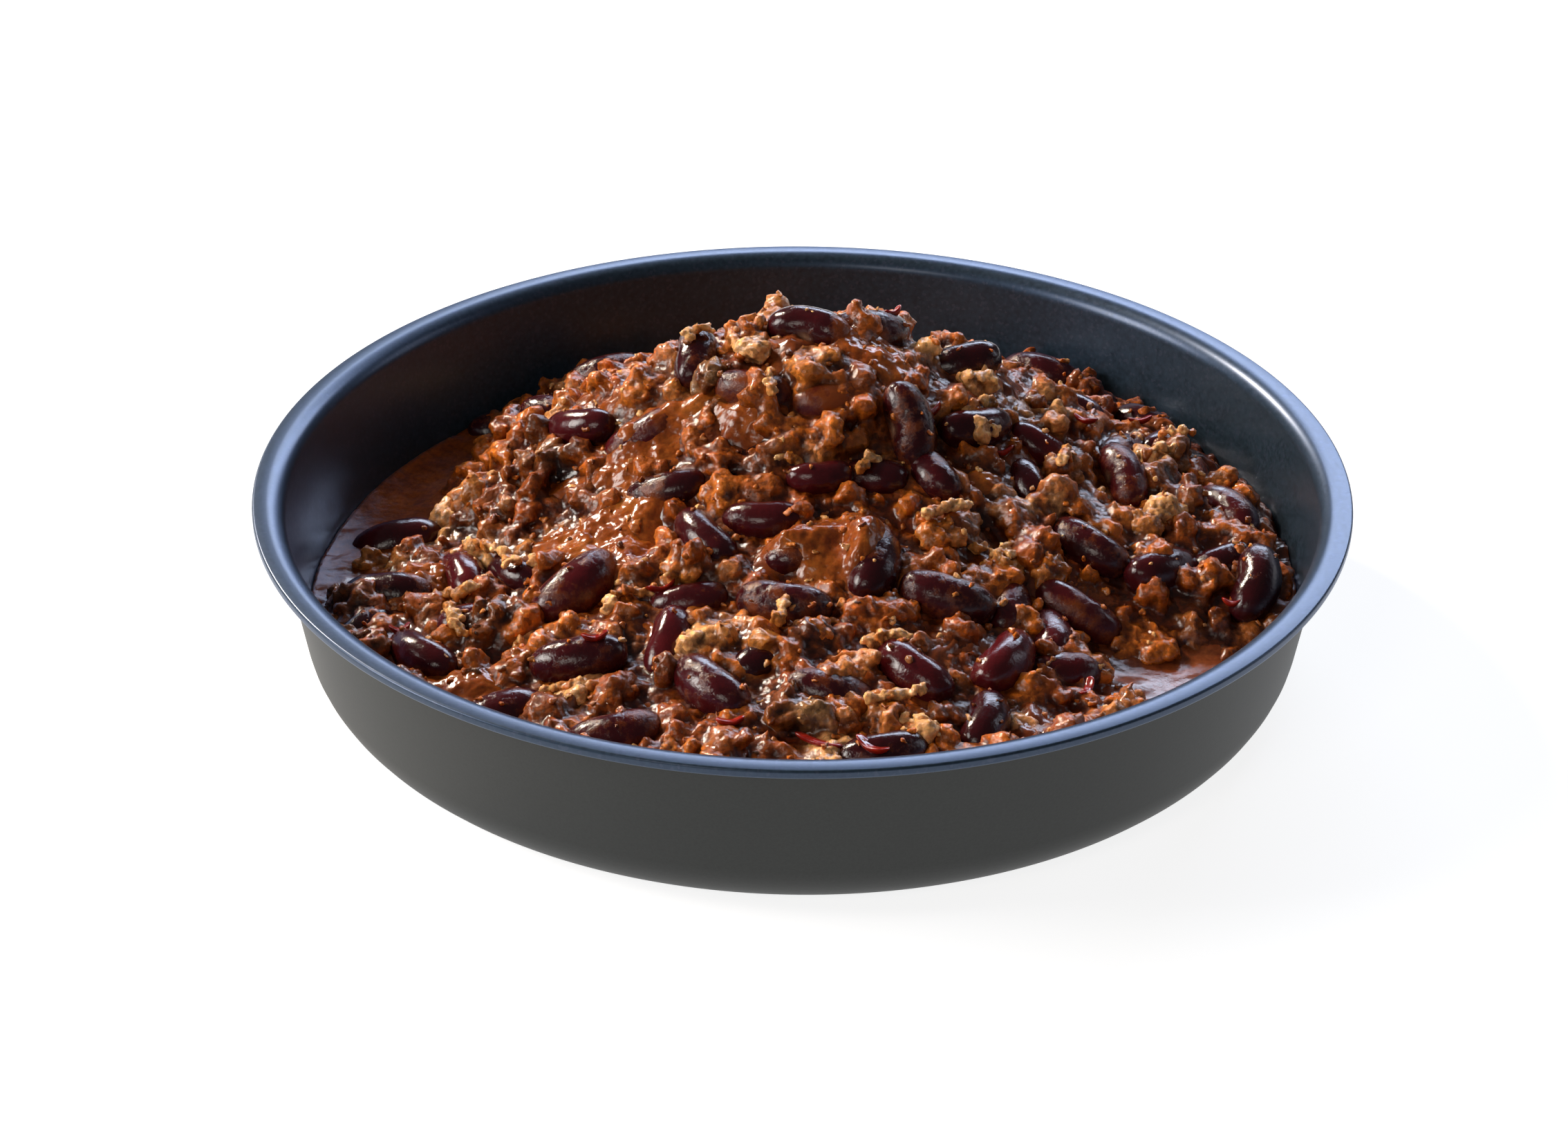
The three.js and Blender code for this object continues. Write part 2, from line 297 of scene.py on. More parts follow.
def put_points(mesh, points):
    mesh.vertices.foreach_set("co", (points * MM).astype(np.float32).ravel())
    mesh.update()


def paint(mesh, name, values):
    """Gives every vertex a value, or a colour of three linear values."""
    values = np.asarray(values, np.float32)
    if values.ndim == 1:
        layer = mesh.attributes.new(name, "FLOAT", "POINT")
        layer.data.foreach_set("value", values)
        return
    layer = mesh.color_attributes.new(name, "FLOAT_COLOR", "POINT")
    layer.data.foreach_set("color", np.pad(values, ((0, 0), (0, 1)), constant_values=1).ravel())


def fractal(points, size, rough, octaves, gap=2.0, shift=0.0):
    """Fractal noise at each point, with features of this size in mm."""
    offset = Vector((shift, shift * 0.7, shift * 1.3))
    return np.array([noise.fractal(Vector(p) / size + offset, rough, gap, octaves) for p in points])


def cell_distance(points, size):
    """How far each point lies from the middle of its cell in a pattern of cells, in cells."""
    return np.array([noise.voronoi(Vector(p) / size)[0][0] for p in points])


@contextlib.contextmanager
def editing(obj):
    """The object's mesh opened for editing, and put back."""
    shape = bmesh.new()
    shape.from_mesh(obj.data)
    yield shape
    shape.to_mesh(obj.data)
    shape.free()
    obj.data.update()


def with_modifiers(obj):
    """Applies the object's modifiers to its mesh."""
    graph = bpy.context.evaluated_depsgraph_get()
    mesh = bpy.data.meshes.new_from_object(obj.evaluated_get(graph))
    old = obj.data
    obj.modifiers.clear()
    obj.data = mesh
    bpy.data.meshes.remove(old)
    return obj


def fused(obj, grain):
    """Runs the object's bodies into one skin."""
    remesh = obj.modifiers.new("fuse", "REMESH")
    remesh.mode = "VOXEL"
    remesh.voxel_size = grain * MM
    remesh.use_smooth_shade = True
    return with_modifiers(obj)


def thinned(obj):
    """Takes out triangles where the surface is flattest, down to the most that the piece may have."""
    count = sum(len(face.vertices) - 2 for face in obj.data.polygons)
    if count > MOST_TRIANGLES[obj.name]:
        thinner = obj.modifiers.new("thin", "DECIMATE")
        thinner.ratio = MOST_TRIANGLES[obj.name] / count
        with_modifiers(obj)


def standing_out(mesh, passes):
    """How far each vertex stands out of its surroundings, in mm: under 0 in a hollow."""
    points = points_of(mesh)
    a, b = values_of(mesh.edges, "vertices", 2, np.int32).T
    many = len(points)
    beside = np.maximum(np.bincount(a, minlength=many) + np.bincount(b, minlength=many), 1)[:, None]
    smooth = points.copy()
    for _ in range(passes):
        total = [np.bincount(a, smooth[b, k], many) + np.bincount(b, smooth[a, k], many) for k in range(3)]
        total = np.stack(total, 1)
        smooth = 0.4 * smooth + 0.6 * total / beside
    return np.sum((points - smooth) * normals_of(mesh), 1)


def filled_in(mesh, passes, fill, soften):
    """Brings hollows out to the surface round them, as sauce does, and softens what stands out.
    Gives back how deep each vertex's hollow was."""
    out = standing_out(mesh, passes)
    move = np.where(out < 0, -fill * out, -soften * out)
    put_points(mesh, points_of(mesh) + normals_of(mesh) * move[:, None])
    return np.maximum(-out, 0)


def nodular(points, normals, size, depth):
    """Swells the surface into small nodules, as on cooked mince."""
    return points + normals * (depth * (0.45 - cell_distance(points, size)))[:, None]


def settled(obj, passes):
    """Softens the creases between bodies that run into each other."""
    smooth = obj.modifiers.new("settle", "SMOOTH")
    smooth.factor = 0.5
    smooth.iterations = passes
    return with_modifiers(obj)


def roughened(points, normals, size, depth, octaves, shift=0.0):
    """Moves points in and out along their normals by a rough pattern."""
    return points + normals * (depth * fractal(points, size, 0.9, octaves, 2.1, shift))[:, None]


def turned_to(heading):
    """A turn about the upright, in degrees."""
    return Matrix.Rotation(math.radians(heading), 3, "Z")


def ride_with_dish(obj):
    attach(obj, "root")
    return obj


class store:
    """What the operators share: the heap, the beans' places and skin, and what loose bits lie on."""

    heap = None
    places = []
    surfaces = []
    bean_skin = None


def smoothstep(low, high, value):
    t = np.clip((value - low) / (high - low), 0, 1)
    return t * t * (3 - 2 * t)


# ------------------------------------------------------------------ the heap's surface


class Field:
    """A height, or any other value, over the plan of the dish on a 1 mm grid."""

    reach = 96

    def __init__(self, values):
        self.values = values

    @classmethod
    def cells(cls):
        return np.arange(-cls.reach, cls.reach + 1, dtype=np.float64)

    def at(self, xs, ys):
        xs = np.clip(np.asarray(xs, np.float64) + self.reach, 0, 2 * self.reach - 1e-6)
        ys = np.clip(np.asarray(ys, np.float64) + self.reach, 0, 2 * self.reach - 1e-6)
        i = xs.astype(int)
        j = ys.astype(int)
        u = xs - i
        v = ys - j
        f = self.values
        low = f[i, j] * (1 - u) + f[i + 1, j] * u
        high = f[i, j + 1] * (1 - u) + f[i + 1, j + 1] * u
        return low * (1 - v) + high * v


def beside(values, **edges):
    """The values one cell away on each of the four sides."""
    padded = np.pad(values, 1, **edges)
    return padded[:-2, 1:-1], padded[2:, 1:-1], padded[1:-1, :-2], padded[1:-1, 2:]


def blurred(values, passes):
    for _ in range(passes):
        values = (sum(beside(values, mode="edge")) + 4 * values) / 8
    return values


def cad_tree(names):
    """One search tree over several CAD nodes, in mm."""
    points = []
    faces = []
    for name in names:
        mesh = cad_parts[name].data
        start = len(points)
        points.extend(Vector(v.co) / MM for v in mesh.vertices)
        faces.extend([start + i for i in p.vertices] for p in mesh.polygons)
    return BVHTree.FromPolygons(points, faces)


def tops(tree):
    """The height of whatever lies highest in each cell, or nan where nothing does."""
    cells = Field.cells()
    heights = np.full((len(cells), len(cells)), np.nan)
    down = Vector((0, 0, -1))
    for i, x in enumerate(cells):
        for j, y in enumerate(cells):
            hit = tree.ray_cast(Vector((x, y, 200)), down)[0]
            if hit:
                heights[i, j] = hit.z
    return heights


def widened(mask, cells):
    for _ in range(cells):
        mask = np.logical_or.reduce([mask, *beside(mask)])
    return mask


def bridged(heights, holes):
    """Carries the surface smoothly across its holes."""
    filled = heights.copy()
    filled[holes] = np.nanmean(heights[~holes])
    for _ in range(400):
        around = sum(beside(filled, mode="edge")) / 4
        filled[holes] = around[holes]
    return filled


def over_plan(xs, ys, level, size, octaves):
    """Fractal noise over the plan, cut through at one level."""
    points = np.stack([xs, ys, np.full_like(xs, level)], -1).reshape(-1, 3)
    return fractal(points, size, 0.8, octaves).reshape(xs.shape)


class Heap:
    """The surface of the food: the meat's tops, the sauce, and where the sauce is open or glazes the meat."""

    def __init__(self, sauce_depth):
        bean_tops = tops(cad_tree(BEANS))
        over_bean = ~np.isnan(bean_tops)
        heap_tops = tops(cad_tree(["chili"]))
        holes = np.isnan(heap_tops) | widened(over_bean, 2)
        meat = blurred(bridged(heap_tops, holes), 2)
        self.pool = float(np.nanmin(heap_tops[~holes]))
        cells = Field.cells()
        xs, ys = np.meshgrid(cells, cells, indexing="ij")
        mounds = over_plan(xs, ys, level=9, size=11, octaves=2)
        meat = meat + 1.7 * mounds * smoothstep(0.5, 4, meat - self.pool)
        self.meat = Field(meat)

        glazed = np.zeros_like(meat)
        thickness = np.zeros_like(meat)
        for x, y, length, width, heading, thick in GLAZED:
            turn = math.radians(heading)
            u = (xs - x) * math.cos(turn) + (ys - y) * math.sin(turn)
            v = -(xs - x) * math.sin(turn) + (ys - y) * math.cos(turn)
            away = np.sqrt((u / length) ** 2 + (v / width) ** 2)
            glazed = np.maximum(glazed, 1 - smoothstep(0.7, 1.15, away))
            thickness = np.maximum(thickness, thick * (1 - smoothstep(0.2, 1.1, away)))
        ragged = over_plan(xs, ys, level=3, size=7, octaves=3)
        glazed = np.clip(glazed * (1 + 0.5 * ragged), 0, 1)
        self.glazed = Field(glazed)

        rise = meat - self.pool
        self.heaped = Field(smoothstep(0.4, 3.2, rise + 1.2 * ragged))
        lower = meat - sauce_depth * (0.75 + 0.5 * ragged) * smoothstep(0.5, 3.5, rise)
        covering = blurred(np.where(over_bean, np.maximum(np.nan_to_num(bean_tops) + 0.5, meat), meat), 3)
        sauce = lower * (1 - glazed) + (covering + thickness + 0.35 * ragged) * glazed
        self.sauce = Field(blurred(sauce, 2))

    def core_at(self, xs, ys):
        """The meat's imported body, just under its loose surface and under the sheets of sauce."""
        glazed = self.glazed.at(xs, ys)
        return (self.meat.at(xs, ys) - 1.5) * (1 - glazed) + (self.sauce.at(xs, ys) - 1.2) * glazed


# ------------------------------------------------------------------ materials


BLEND = {"data_type": "RGBA"}
TIMES = {"data_type": "RGBA", "blend_type": "MULTIPLY", 0: 1.0}


def sauce_material():
    """Tomato sauce, simmered down and thickened: smooth, wet, and clear enough to glow orange where thin."""
    material, node, coords = new_material("Simmered tomato sauce")
    big = node("TexNoise", {"Scale": per_mm(9), "Detail": 5, "Roughness": 0.6}, {"Vector": coords})
    small = node("TexNoise", {"Scale": per_mm(1.1), "Detail": 4, "Roughness": 0.65}, {"Vector": coords})
    depth = node("Attribute", {"attribute_name": "open_sauce"}).outputs["Fac"]
    browns = [(0.3, "#7a3410"), (0.55, "#9a4e18"), (0.75, "#b06828")]
    glaze = node("ValToRGB", {"stops": browns}, {"Fac": big})
    # The open sauce is painted a brighter orange towards the left of the dish and a darker brown towards the
    # right: painted light and shade across the pools.
    tone = node("Attribute", {"attribute_name": "pool_tone"}).outputs["Fac"]
    dark = node("ValToRGB", {"stops": [(0.3, "#5c240c"), (0.7, "#864420")]}, {"Fac": big})
    orange = node("ValToRGB", {"stops": [(0.3, "#6a2c04"), (0.7, "#984a0c")]}, {"Fac": big})
    deep = node("Mix", BLEND, {0: tone, 6: dark, 7: orange})
    mixed = node("Mix", BLEND, {0: depth, 6: glaze, 7: deep})
    specks = node("ValToRGB", {"stops": [(0.35, 0.72), (0.65, 1.2)]}, {"Fac": small})
    colour = node("Mix", TIMES, {6: mixed, 7: specks})
    grains = node("TexVoronoi", {"Scale": per_mm(1.5), "feature": "SMOOTH_F1"}, {"Vector": coords})
    laden = node("Math", {"operation": "MULTIPLY_ADD", 1: -0.8, 2: 0.9}, {0: depth})
    grainy = node("Bump", {"Distance": 0.4 * MM}, {"Height": grains, "Strength": laden})
    bump = node("Bump", {"Strength": 0.2, "Distance": 0.3 * MM}, {"Height": small, "Normal": grainy})
    look = {
        "Roughness": 0.22,
        "IOR": 1.36,
        "Subsurface Weight": 0.25,
        "Subsurface Radius": (1.0, 0.32, 0.1),
        "Subsurface Scale": 1.6 * MM,
        "Coat Weight": 0.25,
        "Coat Roughness": 0.05,
    }
    return surfaced(material, look, {"Base Color": colour, "Normal": bump, "Coat Normal": bump})


def mince_material():
    """Minced meat simmered in sauce: granular, each bit its own brown, with paler flecks of fat. A wet film
    of sauce lies over it, smoother in the hollows, so that it glitters."""
    material, node, coords = new_material("Simmered minced meat")
    # The bits' colour carries painted shade in the meat's hollows and painted light where it stands out, as
    # well as the meat's own colour.
    bit = node("Attribute", {"attribute_name": "bit_colour"})
    film = node("Attribute", {"attribute_name": "film"}).outputs["Fac"]
    grain = node("TexNoise", {"Scale": per_mm(1.6), "Detail": 6, "Roughness": 0.7}, {"Vector": coords})
    grains = node("TexVoronoi", {"Scale": per_mm(1.0), "feature": "SMOOTH_F1"}, {"Vector": coords})
    flecks = node("TexVoronoi", {"Scale": per_mm(0.9)}, {"Vector": coords})
    chosen = node("SeparateColor", links={"Color": flecks.outputs["Color"]})
    lights = [(0.05, 0.62), (0.25, 0.95), (0.75, 1.0), (0.97, 1.55)]
    fleck = node("ValToRGB", {"stops": lights}, {"Fac": chosen})
    shade = node("ValToRGB", {"stops": [(0.3, 0.62), (0.5, 0.97), (0.7, 1.35)]}, {"Fac": grain})
    flecked = node("Mix", TIMES, {6: bit, 7: shade})
    colour = node("Mix", TIMES, {6: flecked, 7: fleck})
    relief = node("Math", {"operation": "ADD"}, {0: grain, 1: grains})
    depth = node("Math", {"operation": "MULTIPLY_ADD", 1: -0.6, 2: 0.75}, {0: film})
    bump = node("Bump", {"Distance": 0.5 * MM}, {"Height": relief, "Strength": depth})
    wet = node("Bump", {"Distance": 0.18 * MM}, {"Height": relief, "Strength": depth})
    look = {
        "Roughness": 0.45,
        "IOR": 1.35,
        "Specular IOR Level": 0.1,
        "Subsurface Weight": 0.25,
        "Subsurface Radius": (1.0, 0.4, 0.12),
        "Subsurface Scale": 0.9 * MM,
        "Coat Weight": 0.75,
        "Coat Roughness": 0.06,
    }
    return surfaced(material, look, {"Base Color": colour, "Normal": bump, "Coat Normal": wet})


def bean_material(smear_colour):
    """Cooked kidney bean: a thin, tight, dark red skin, glossy with sauce, and smeared with it in places."""
    material, node, coords = new_material("Cooked kidney bean skin")
    tone = node("Attribute", {"attribute_name": "bean_tone"}).outputs["Fac"]
    coat = node("Attribute", {"attribute_name": "sauce_coat"}).outputs["Fac"]
    scar = node("Attribute", {"attribute_name": "scar"}).outputs["Fac"]
    mottle = node("TexNoise", {"Scale": per_mm(5), "Detail": 4, "Roughness": 0.6}, {"Vector": coords})
    smear = node("TexNoise", {"Scale": per_mm(4), "Detail": 7, "Roughness": 0.68}, {"Vector": coords})
    fine = node("TexNoise", {"Scale": per_mm(0.7), "Detail": 3}, {"Vector": coords})
    blend = node("Math", {"operation": "MULTIPLY_ADD", 1: 0.6}, {0: mottle, 2: tone})
    reds = [(0.2, "#1e0608"), (0.5, "#380c10"), (0.8, "#521216"), (1.0, "#701d1c")]
    skin = node("ValToRGB", {"stops": reds}, {"Fac": blend})
    reach = node("Math", {"operation": "ADD"}, {0: smear, 1: coat})
    smeared = node("ValToRGB", {"stops": [(0.66, 0), (0.86, 1)]}, {"Fac": reach})
    sauced = node("Mix", {**BLEND, 7: (*smear_colour, 1)}, {0: smeared, 6: skin})
    colour = node("Mix", {**BLEND, 7: "#8d6a52"}, {0: scar, 6: sauced})
    height = node("Math", {"operation": "MULTIPLY_ADD", 1: 0.35}, {0: fine, 2: smeared})
    crease = node("TexNoise", {"Scale": per_mm(2.2), "Detail": 5, "Roughness": 0.7}, {"Vector": coords})
    pressed = node("Bump", {"Strength": 0.25, "Distance": 0.5 * MM}, {"Height": crease})
    bump = node("Bump", {"Strength": 0.4, "Distance": 0.25 * MM}, {"Height": height, "Normal": pressed})
    gloss = node("ValToRGB", {"stops": [(0.3, 0.12), (0.7, 0.24)]}, {"Fac": fine})
    look = {
        "IOR": 1.36,
        "Specular IOR Level": 0.35,
        "Subsurface Weight": 0.12,
        "Subsurface Radius": (1.0, 0.2, 0.15),
        "Subsurface Scale": 1.2 * MM,
        "Coat Weight": 0.4,
        "Coat Roughness": 0.04,
    }
    links = {"Base Color": colour, "Roughness": gloss, "Normal": bump, "Coat Normal": bump}
    return surfaced(material, look, links)


def pepper_material():
    """Cooked red pepper and tomato skin: thin, shiny and deep red, brighter in places."""
    material, node, coords = new_material("Cooked red pepper skin")
    mottle = node("TexNoise", {"Scale": per_mm(2), "Detail": 4}, {"Vector": coords})
    reds = [(0.3, "#6a100a"), (0.6, "#981c0e"), (0.8, "#b03a1c")]
    colour = node("ValToRGB", {"stops": reds}, {"Fac": mottle})
    bump = node("Bump", {"Strength": 0.4, "Distance": 0.3 * MM}, {"Height": mottle})
    look = {
        "Roughness": 0.2,
        "IOR": 1.4,
        "Subsurface Weight": 0.3,
        "Subsurface Radius": (1.0, 0.2, 0.1),
        "Subsurface Scale": 1.5 * MM,
        "Coat Weight": 0.4,
        "Coat Roughness": 0.05,
    }
    return surfaced(material, look, {"Base Color": colour, "Normal": bump})


def coating_material():
    """Non-stick coating with metal flake: charcoal, satin, with fine bright specks.
    The real flakes are about 0.1 mm; they are drawn at 0.55 mm so that they show."""
    material, node, coords = new_material("Flaked non-stick coating")
    cells = node("TexVoronoi", {"Scale": per_mm(0.55)}, {"Vector": coords})
    chosen = node("SeparateColor", links={"Color": cells.outputs["Color"]})
    flake = node("ValToRGB", {"stops": [(0.8, 0), (0.97, 1)]}, {"Fac": chosen})
    cloud = node("TexNoise", {"Scale": per_mm(0.9), "Detail": 3}, {"Vector": coords})
    ground = node("ValToRGB", {"stops": [(0.3, "#1e2627"), (0.7, "#2b3537")]}, {"Fac": cloud})
    colour = node("Mix", {**BLEND, 7: "#3c4046"}, {0: flake, 6: ground})
    metal = node("Math", {"operation": "MULTIPLY_ADD", 1: 0.3, 2: 0.05}, {0: flake})
    gloss = node("ValToRGB", {"stops": [(0.3, 0.34), (0.7, 0.44)]}, {"Fac": cloud})
    bump = node("Bump", {"Strength": 0.18, "Distance": 0.06 * MM}, {"Height": cloud})
    look = {
        "IOR": 1.6,
        "Specular Tint": "#98bdf8",
        "Coat Tint": "#b4d2fc",
        "Coat Weight": 0.5,
        "Coat Roughness": 0.28,
    }
    links = {"Base Color": colour, "Metallic": metal, "Roughness": gloss, "Normal": bump}
    return surfaced(material, look, links)


def anodised_material():
    """Hard-anodised aluminium: an even, matt dark grey, with the etch's fine grain drawn coarser to show."""
    material, node, coords = new_material("Hard-anodised aluminium")
    grain = node("TexNoise", {"Scale": per_mm(0.5), "Detail": 3, "Roughness": 0.6}, {"Vector": coords})
    cloud = node("TexNoise", {"Scale": per_mm(30), "Detail": 3}, {"Vector": coords})
    fine = node("ValToRGB", {"stops": [(0.3, "#151816"), (0.7, "#1d201e")]}, {"Fac": grain})
    broad = node("ValToRGB", {"stops": [(0.3, 0.93), (0.7, 1.05)]}, {"Fac": cloud})
    colour = node("Mix", TIMES, {6: fine, 7: broad})
    bump = node("Bump", {"Strength": 0.2, "Distance": 0.05 * MM}, {"Height": grain})
    return surfaced(material, {"Metallic": 0.1, "Roughness": 0.53}, {"Base Color": colour, "Normal": bump})


def floor_material():
    """White seamless studio paper, lit from all round: matt, with the faintest cloudiness."""
    material, node, coords = new_material("White studio paper")
    cloud = node("TexNoise", {"Scale": per_mm(1000 / 3), "Detail": 2}, {"Vector": coords})
    colour = node("ValToRGB", {"stops": [(0.3, "#a2a2a2"), (0.7, "#a8a8a8")]}, {"Fac": cloud})
    glow = node("ValToRGB", {"stops": [(0.3, "#fcfcfc"), (0.7, "#ffffff")]}, {"Fac": cloud})
    look = {"Roughness": 0.9, "Emission Strength": 0.85}
    return surfaced(material, look, {"Base Color": colour, "Emission Color": glow})


# ------------------------------------------------------------------ shapes


def dish_section(dish, radius, height):
    """The dish's section as (radius, height, finish): underside, outside, over the lip and down inside."""
    points = []

    def bend(centre, size, start, end, steps, finish):
        for i in range(steps + 1):
            a = start + (end - start) * i / steps
            points.append((centre[0] + size * math.cos(a), centre[1] + size * math.sin(a), finish))

    lean = dish.lean
    half = math.pi / 2
    steps = 10

    def outer(z):
        return dish.wall_radius - (dish.wall_height - z) * math.tan(lean)

    def inner(z):
        return outer(z) - dish.sheet / math.cos(lean)

    corner = (outer(dish.corner * (1 - math.sin(lean))) - dish.corner * math.cos(lean), dish.corner)
    bend_z = height - dish.lip_bend
    lip = (inner(bend_z + dish.lip_bend * math.sin(lean)) + dish.lip_bend * math.cos(lean), bend_z)
    edge = dish.lip_edge
    for i in range(6):
        points.append((corner[0] * i / 6, 0, 0))
    bend(corner, dish.corner, -half, -lean, steps, 0)
    bend(lip, dish.lip_bend - dish.sheet, math.pi - lean, half, steps, 0)
    bend((radius - edge, height - dish.sheet + edge), edge, -half, 0, 4, 1)
    bend((radius - edge, height - edge), edge, 0, half, 4, 1)
    bend(lip, dish.lip_bend, half, math.pi - lean, steps, 1)
    bend(corner, dish.corner - dish.sheet, -lean, -half, steps, 1)
    for i in range(5, -1, -1):
        points.append((corner[0] * i / 6, dish.sheet, 1))
    return points


def turned(name, section, sides):
    """A body of revolution, with each face's finish from its section point."""
    rings = section[1:-1]
    ways = np.arange(sides) * (2 * math.pi / sides)
    points = [np.array([[0, 0, section[0][1]]]), np.array([[0, 0, section[-1][1]]])]
    for radius, z, _ in rings:
        points.append(np.stack([radius * np.cos(ways), radius * np.sin(ways), np.full(sides, z)], 1))
    points = np.concatenate(points)
    near = np.arange(sides)
    far = (near + 1) % sides
    quads = []
    finishes = []
    for row in range(len(rings) - 1):
        a = 2 + row * sides
        b = a + sides
        quads.append(np.stack([a + near, a + far, b + far, b + near], 1))
        finishes.extend([rings[row + 1][2]] * sides)
    last = 2 + (len(rings) - 1) * sides
    faces = np.concatenate(quads).tolist()
    faces += [[0, 2 + int(j), 2 + int(i)] for i, j in zip(near, far)]
    faces += [[1, last + int(i), last + int(j)] for i, j in zip(near, far)]
    finishes.extend([section[0][2]] * sides + [section[-1][2]] * sides)
    mesh = poly_mesh(name, points, faces)
    mesh.polygons.foreach_set("material_index", np.array(finishes, np.int32))
    return placed(name, mesh)


def disc_grid(cells):
    """Unit disc points of a square grid drawn out to a circle, and its quads."""
    line = np.linspace(-1, 1, cells + 1)
    u, v = np.meshgrid(line, line)
    wide = np.abs(u) > np.abs(v)
    eighth = math.pi / 4
    with np.errstate(divide="ignore", invalid="ignore"):
        way = np.where(wide, eighth * np.nan_to_num(v / u), 2 * eighth - eighth * np.nan_to_num(u / v))
    reach = np.where(wide, u, v)
    points = np.stack([(reach * np.cos(way)).ravel(), (reach * np.sin(way)).ravel()], 1)
    index = np.arange((cells + 1) ** 2).reshape(cells + 1, cells + 1)
    quads = np.stack([index[:-1, :-1], index[:-1, 1:], index[1:, 1:], index[1:, :-1]], -1).reshape(-1, 4)
    rim = np.concatenate([index[0, :-1], index[:-1, -1], index[-1, :0:-1], index[:0:-1, 0]])
    return points, quads, rim


def filled_to(name, dish, surface, cells, clearance, low):
    """A closed body that fills the dish from a low level up to a surface, this clear of its wall."""
    disc, quads, rim = disc_grid(cells)

    def wall(z):
        outer = dish.wall_radius - (dish.wall_height - z) * math.tan(dish.lean)
        straight = outer - dish.sheet / math.cos(dish.lean)
        corner = dish.corner - dish.sheet
        drop = np.clip(dish.corner - z, 0, corner)
        return straight - clearance - (corner - np.sqrt(np.maximum(corner**2 - drop**2, 0)))

    edge = disc[rim] * wall(12.0)
    height = surface(edge[:, 0], edge[:, 1])
    for _ in range(3):
        edge = disc[rim] * wall(height)[:, None]
        height = surface(edge[:, 0], edge[:, 1])
    way = np.arctan2(disc[rim][:, 1], disc[rim][:, 0])
    order = np.argsort(way)
    away = np.hypot(edge[:, 0], edge[:, 1])[order]
    reach = np.interp(np.arctan2(disc[:, 1], disc[:, 0]), way[order], away, period=2 * math.pi)
    plan = disc * reach[:, None]
    points = [np.column_stack([plan, surface(plan[:, 0], plan[:, 1])])]
    faces = [quads]
    ring = rim
    count = len(disc)
    top = points[0][rim, 2]
    for share in (0.35, 0.6, 0.8, 0.93, 1.0):
        z = top + (low - top) * share
        around = disc[rim] * wall(z)[:, None]
        points.append(np.column_stack([around, z]))
        lower = count + np.arange(len(rim))
        count += len(rim)
        faces.append(np.stack([ring, lower, np.roll(lower, -1), np.roll(ring, -1)], 1))
        ring = lower
    made = mesh_object(name, np.concatenate(points), np.concatenate(faces))
    with editing(made) as shape:
        shape.verts.ensure_lookup_table()
        shape.faces.new([shape.verts[int(i)] for i in ring[::-1]])
    return made


def chips(centres, sizes, rng):
    """Small angular bodies, each a ball pushed in and out and turned at random, as points and faces."""
    shape = bmesh.new()
    bmesh.ops.create_icosphere(shape, subdivisions=1, radius=1)
    ball = np.array([v.co for v in shape.verts])
    faces = np.array([[v.index for v in f.verts] for f in shape.faces])
    shape.free()
    many = len(centres)
    turns = rng.normal(size=(many, 4))
    turns /= np.linalg.norm(turns, axis=1, keepdims=True)
    w, x, y, z = turns.T
    matrix = np.stack(
        [
            1 - 2 * (y * y + z * z), 2 * (x * y - z * w), 2 * (x * z + y * w),
            2 * (x * y + z * w), 1 - 2 * (x * x + z * z), 2 * (y * z - x * w),
            2 * (x * z - y * w), 2 * (y * z + x * w), 1 - 2 * (x * x + y * y),
        ],
        1,
    ).reshape(many, 3, 3)
    pushed = ball[None] * rng.uniform(0.76, 1.22, (many, len(ball), 1)) * sizes[:, None, :]
    points = np.einsum("nij,nkj->nki", matrix, pushed) + centres[:, None, :]
    index = faces[None] + (np.arange(many) * len(ball))[:, None, None]
    return points.reshape(-1, 3), index.reshape(-1, 3)


# ------------------------------------------------------------------ beans


class BeanPlace:
    """Where a CAD bean lies: its middle, its three axes and its half sizes, measured from its mesh."""

    def __init__(self, name):
        points = points_of(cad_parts[name].data)
        middle = points.mean(0)
        axes = np.linalg.svd(points - middle, full_matrices=False)[2]
        local = (points - middle) @ axes.T
        spread = local.max(0) - local.min(0)
        middle = middle + ((local.max(0) + local.min(0)) / 2) @ axes
        local = (points - middle) @ axes.T
        ends = np.abs(local[:, 0]) > 0.35 * spread[0]
        waist = np.abs(local[:, 0]) < 0.2 * spread[0]
        if local[ends, 1].mean() < local[waist, 1].mean():
            axes[1] *= -1
        axes[2] = np.cross(axes[0], axes[1])
        if axes[2, 2] < 0:
            axes[0] *= -1
            axes[2] *= -1
        self.name = name
        self.middle = middle
        self.axes = axes
        self.half = spread / 2

    def outside(self, points, margin):
        """How far out each point lies, as a share of the bean grown by a margin: under 1 is inside."""
        local = (points - self.middle) @ self.axes.T
        return np.linalg.norm(local / (self.half + margin), axis=1)


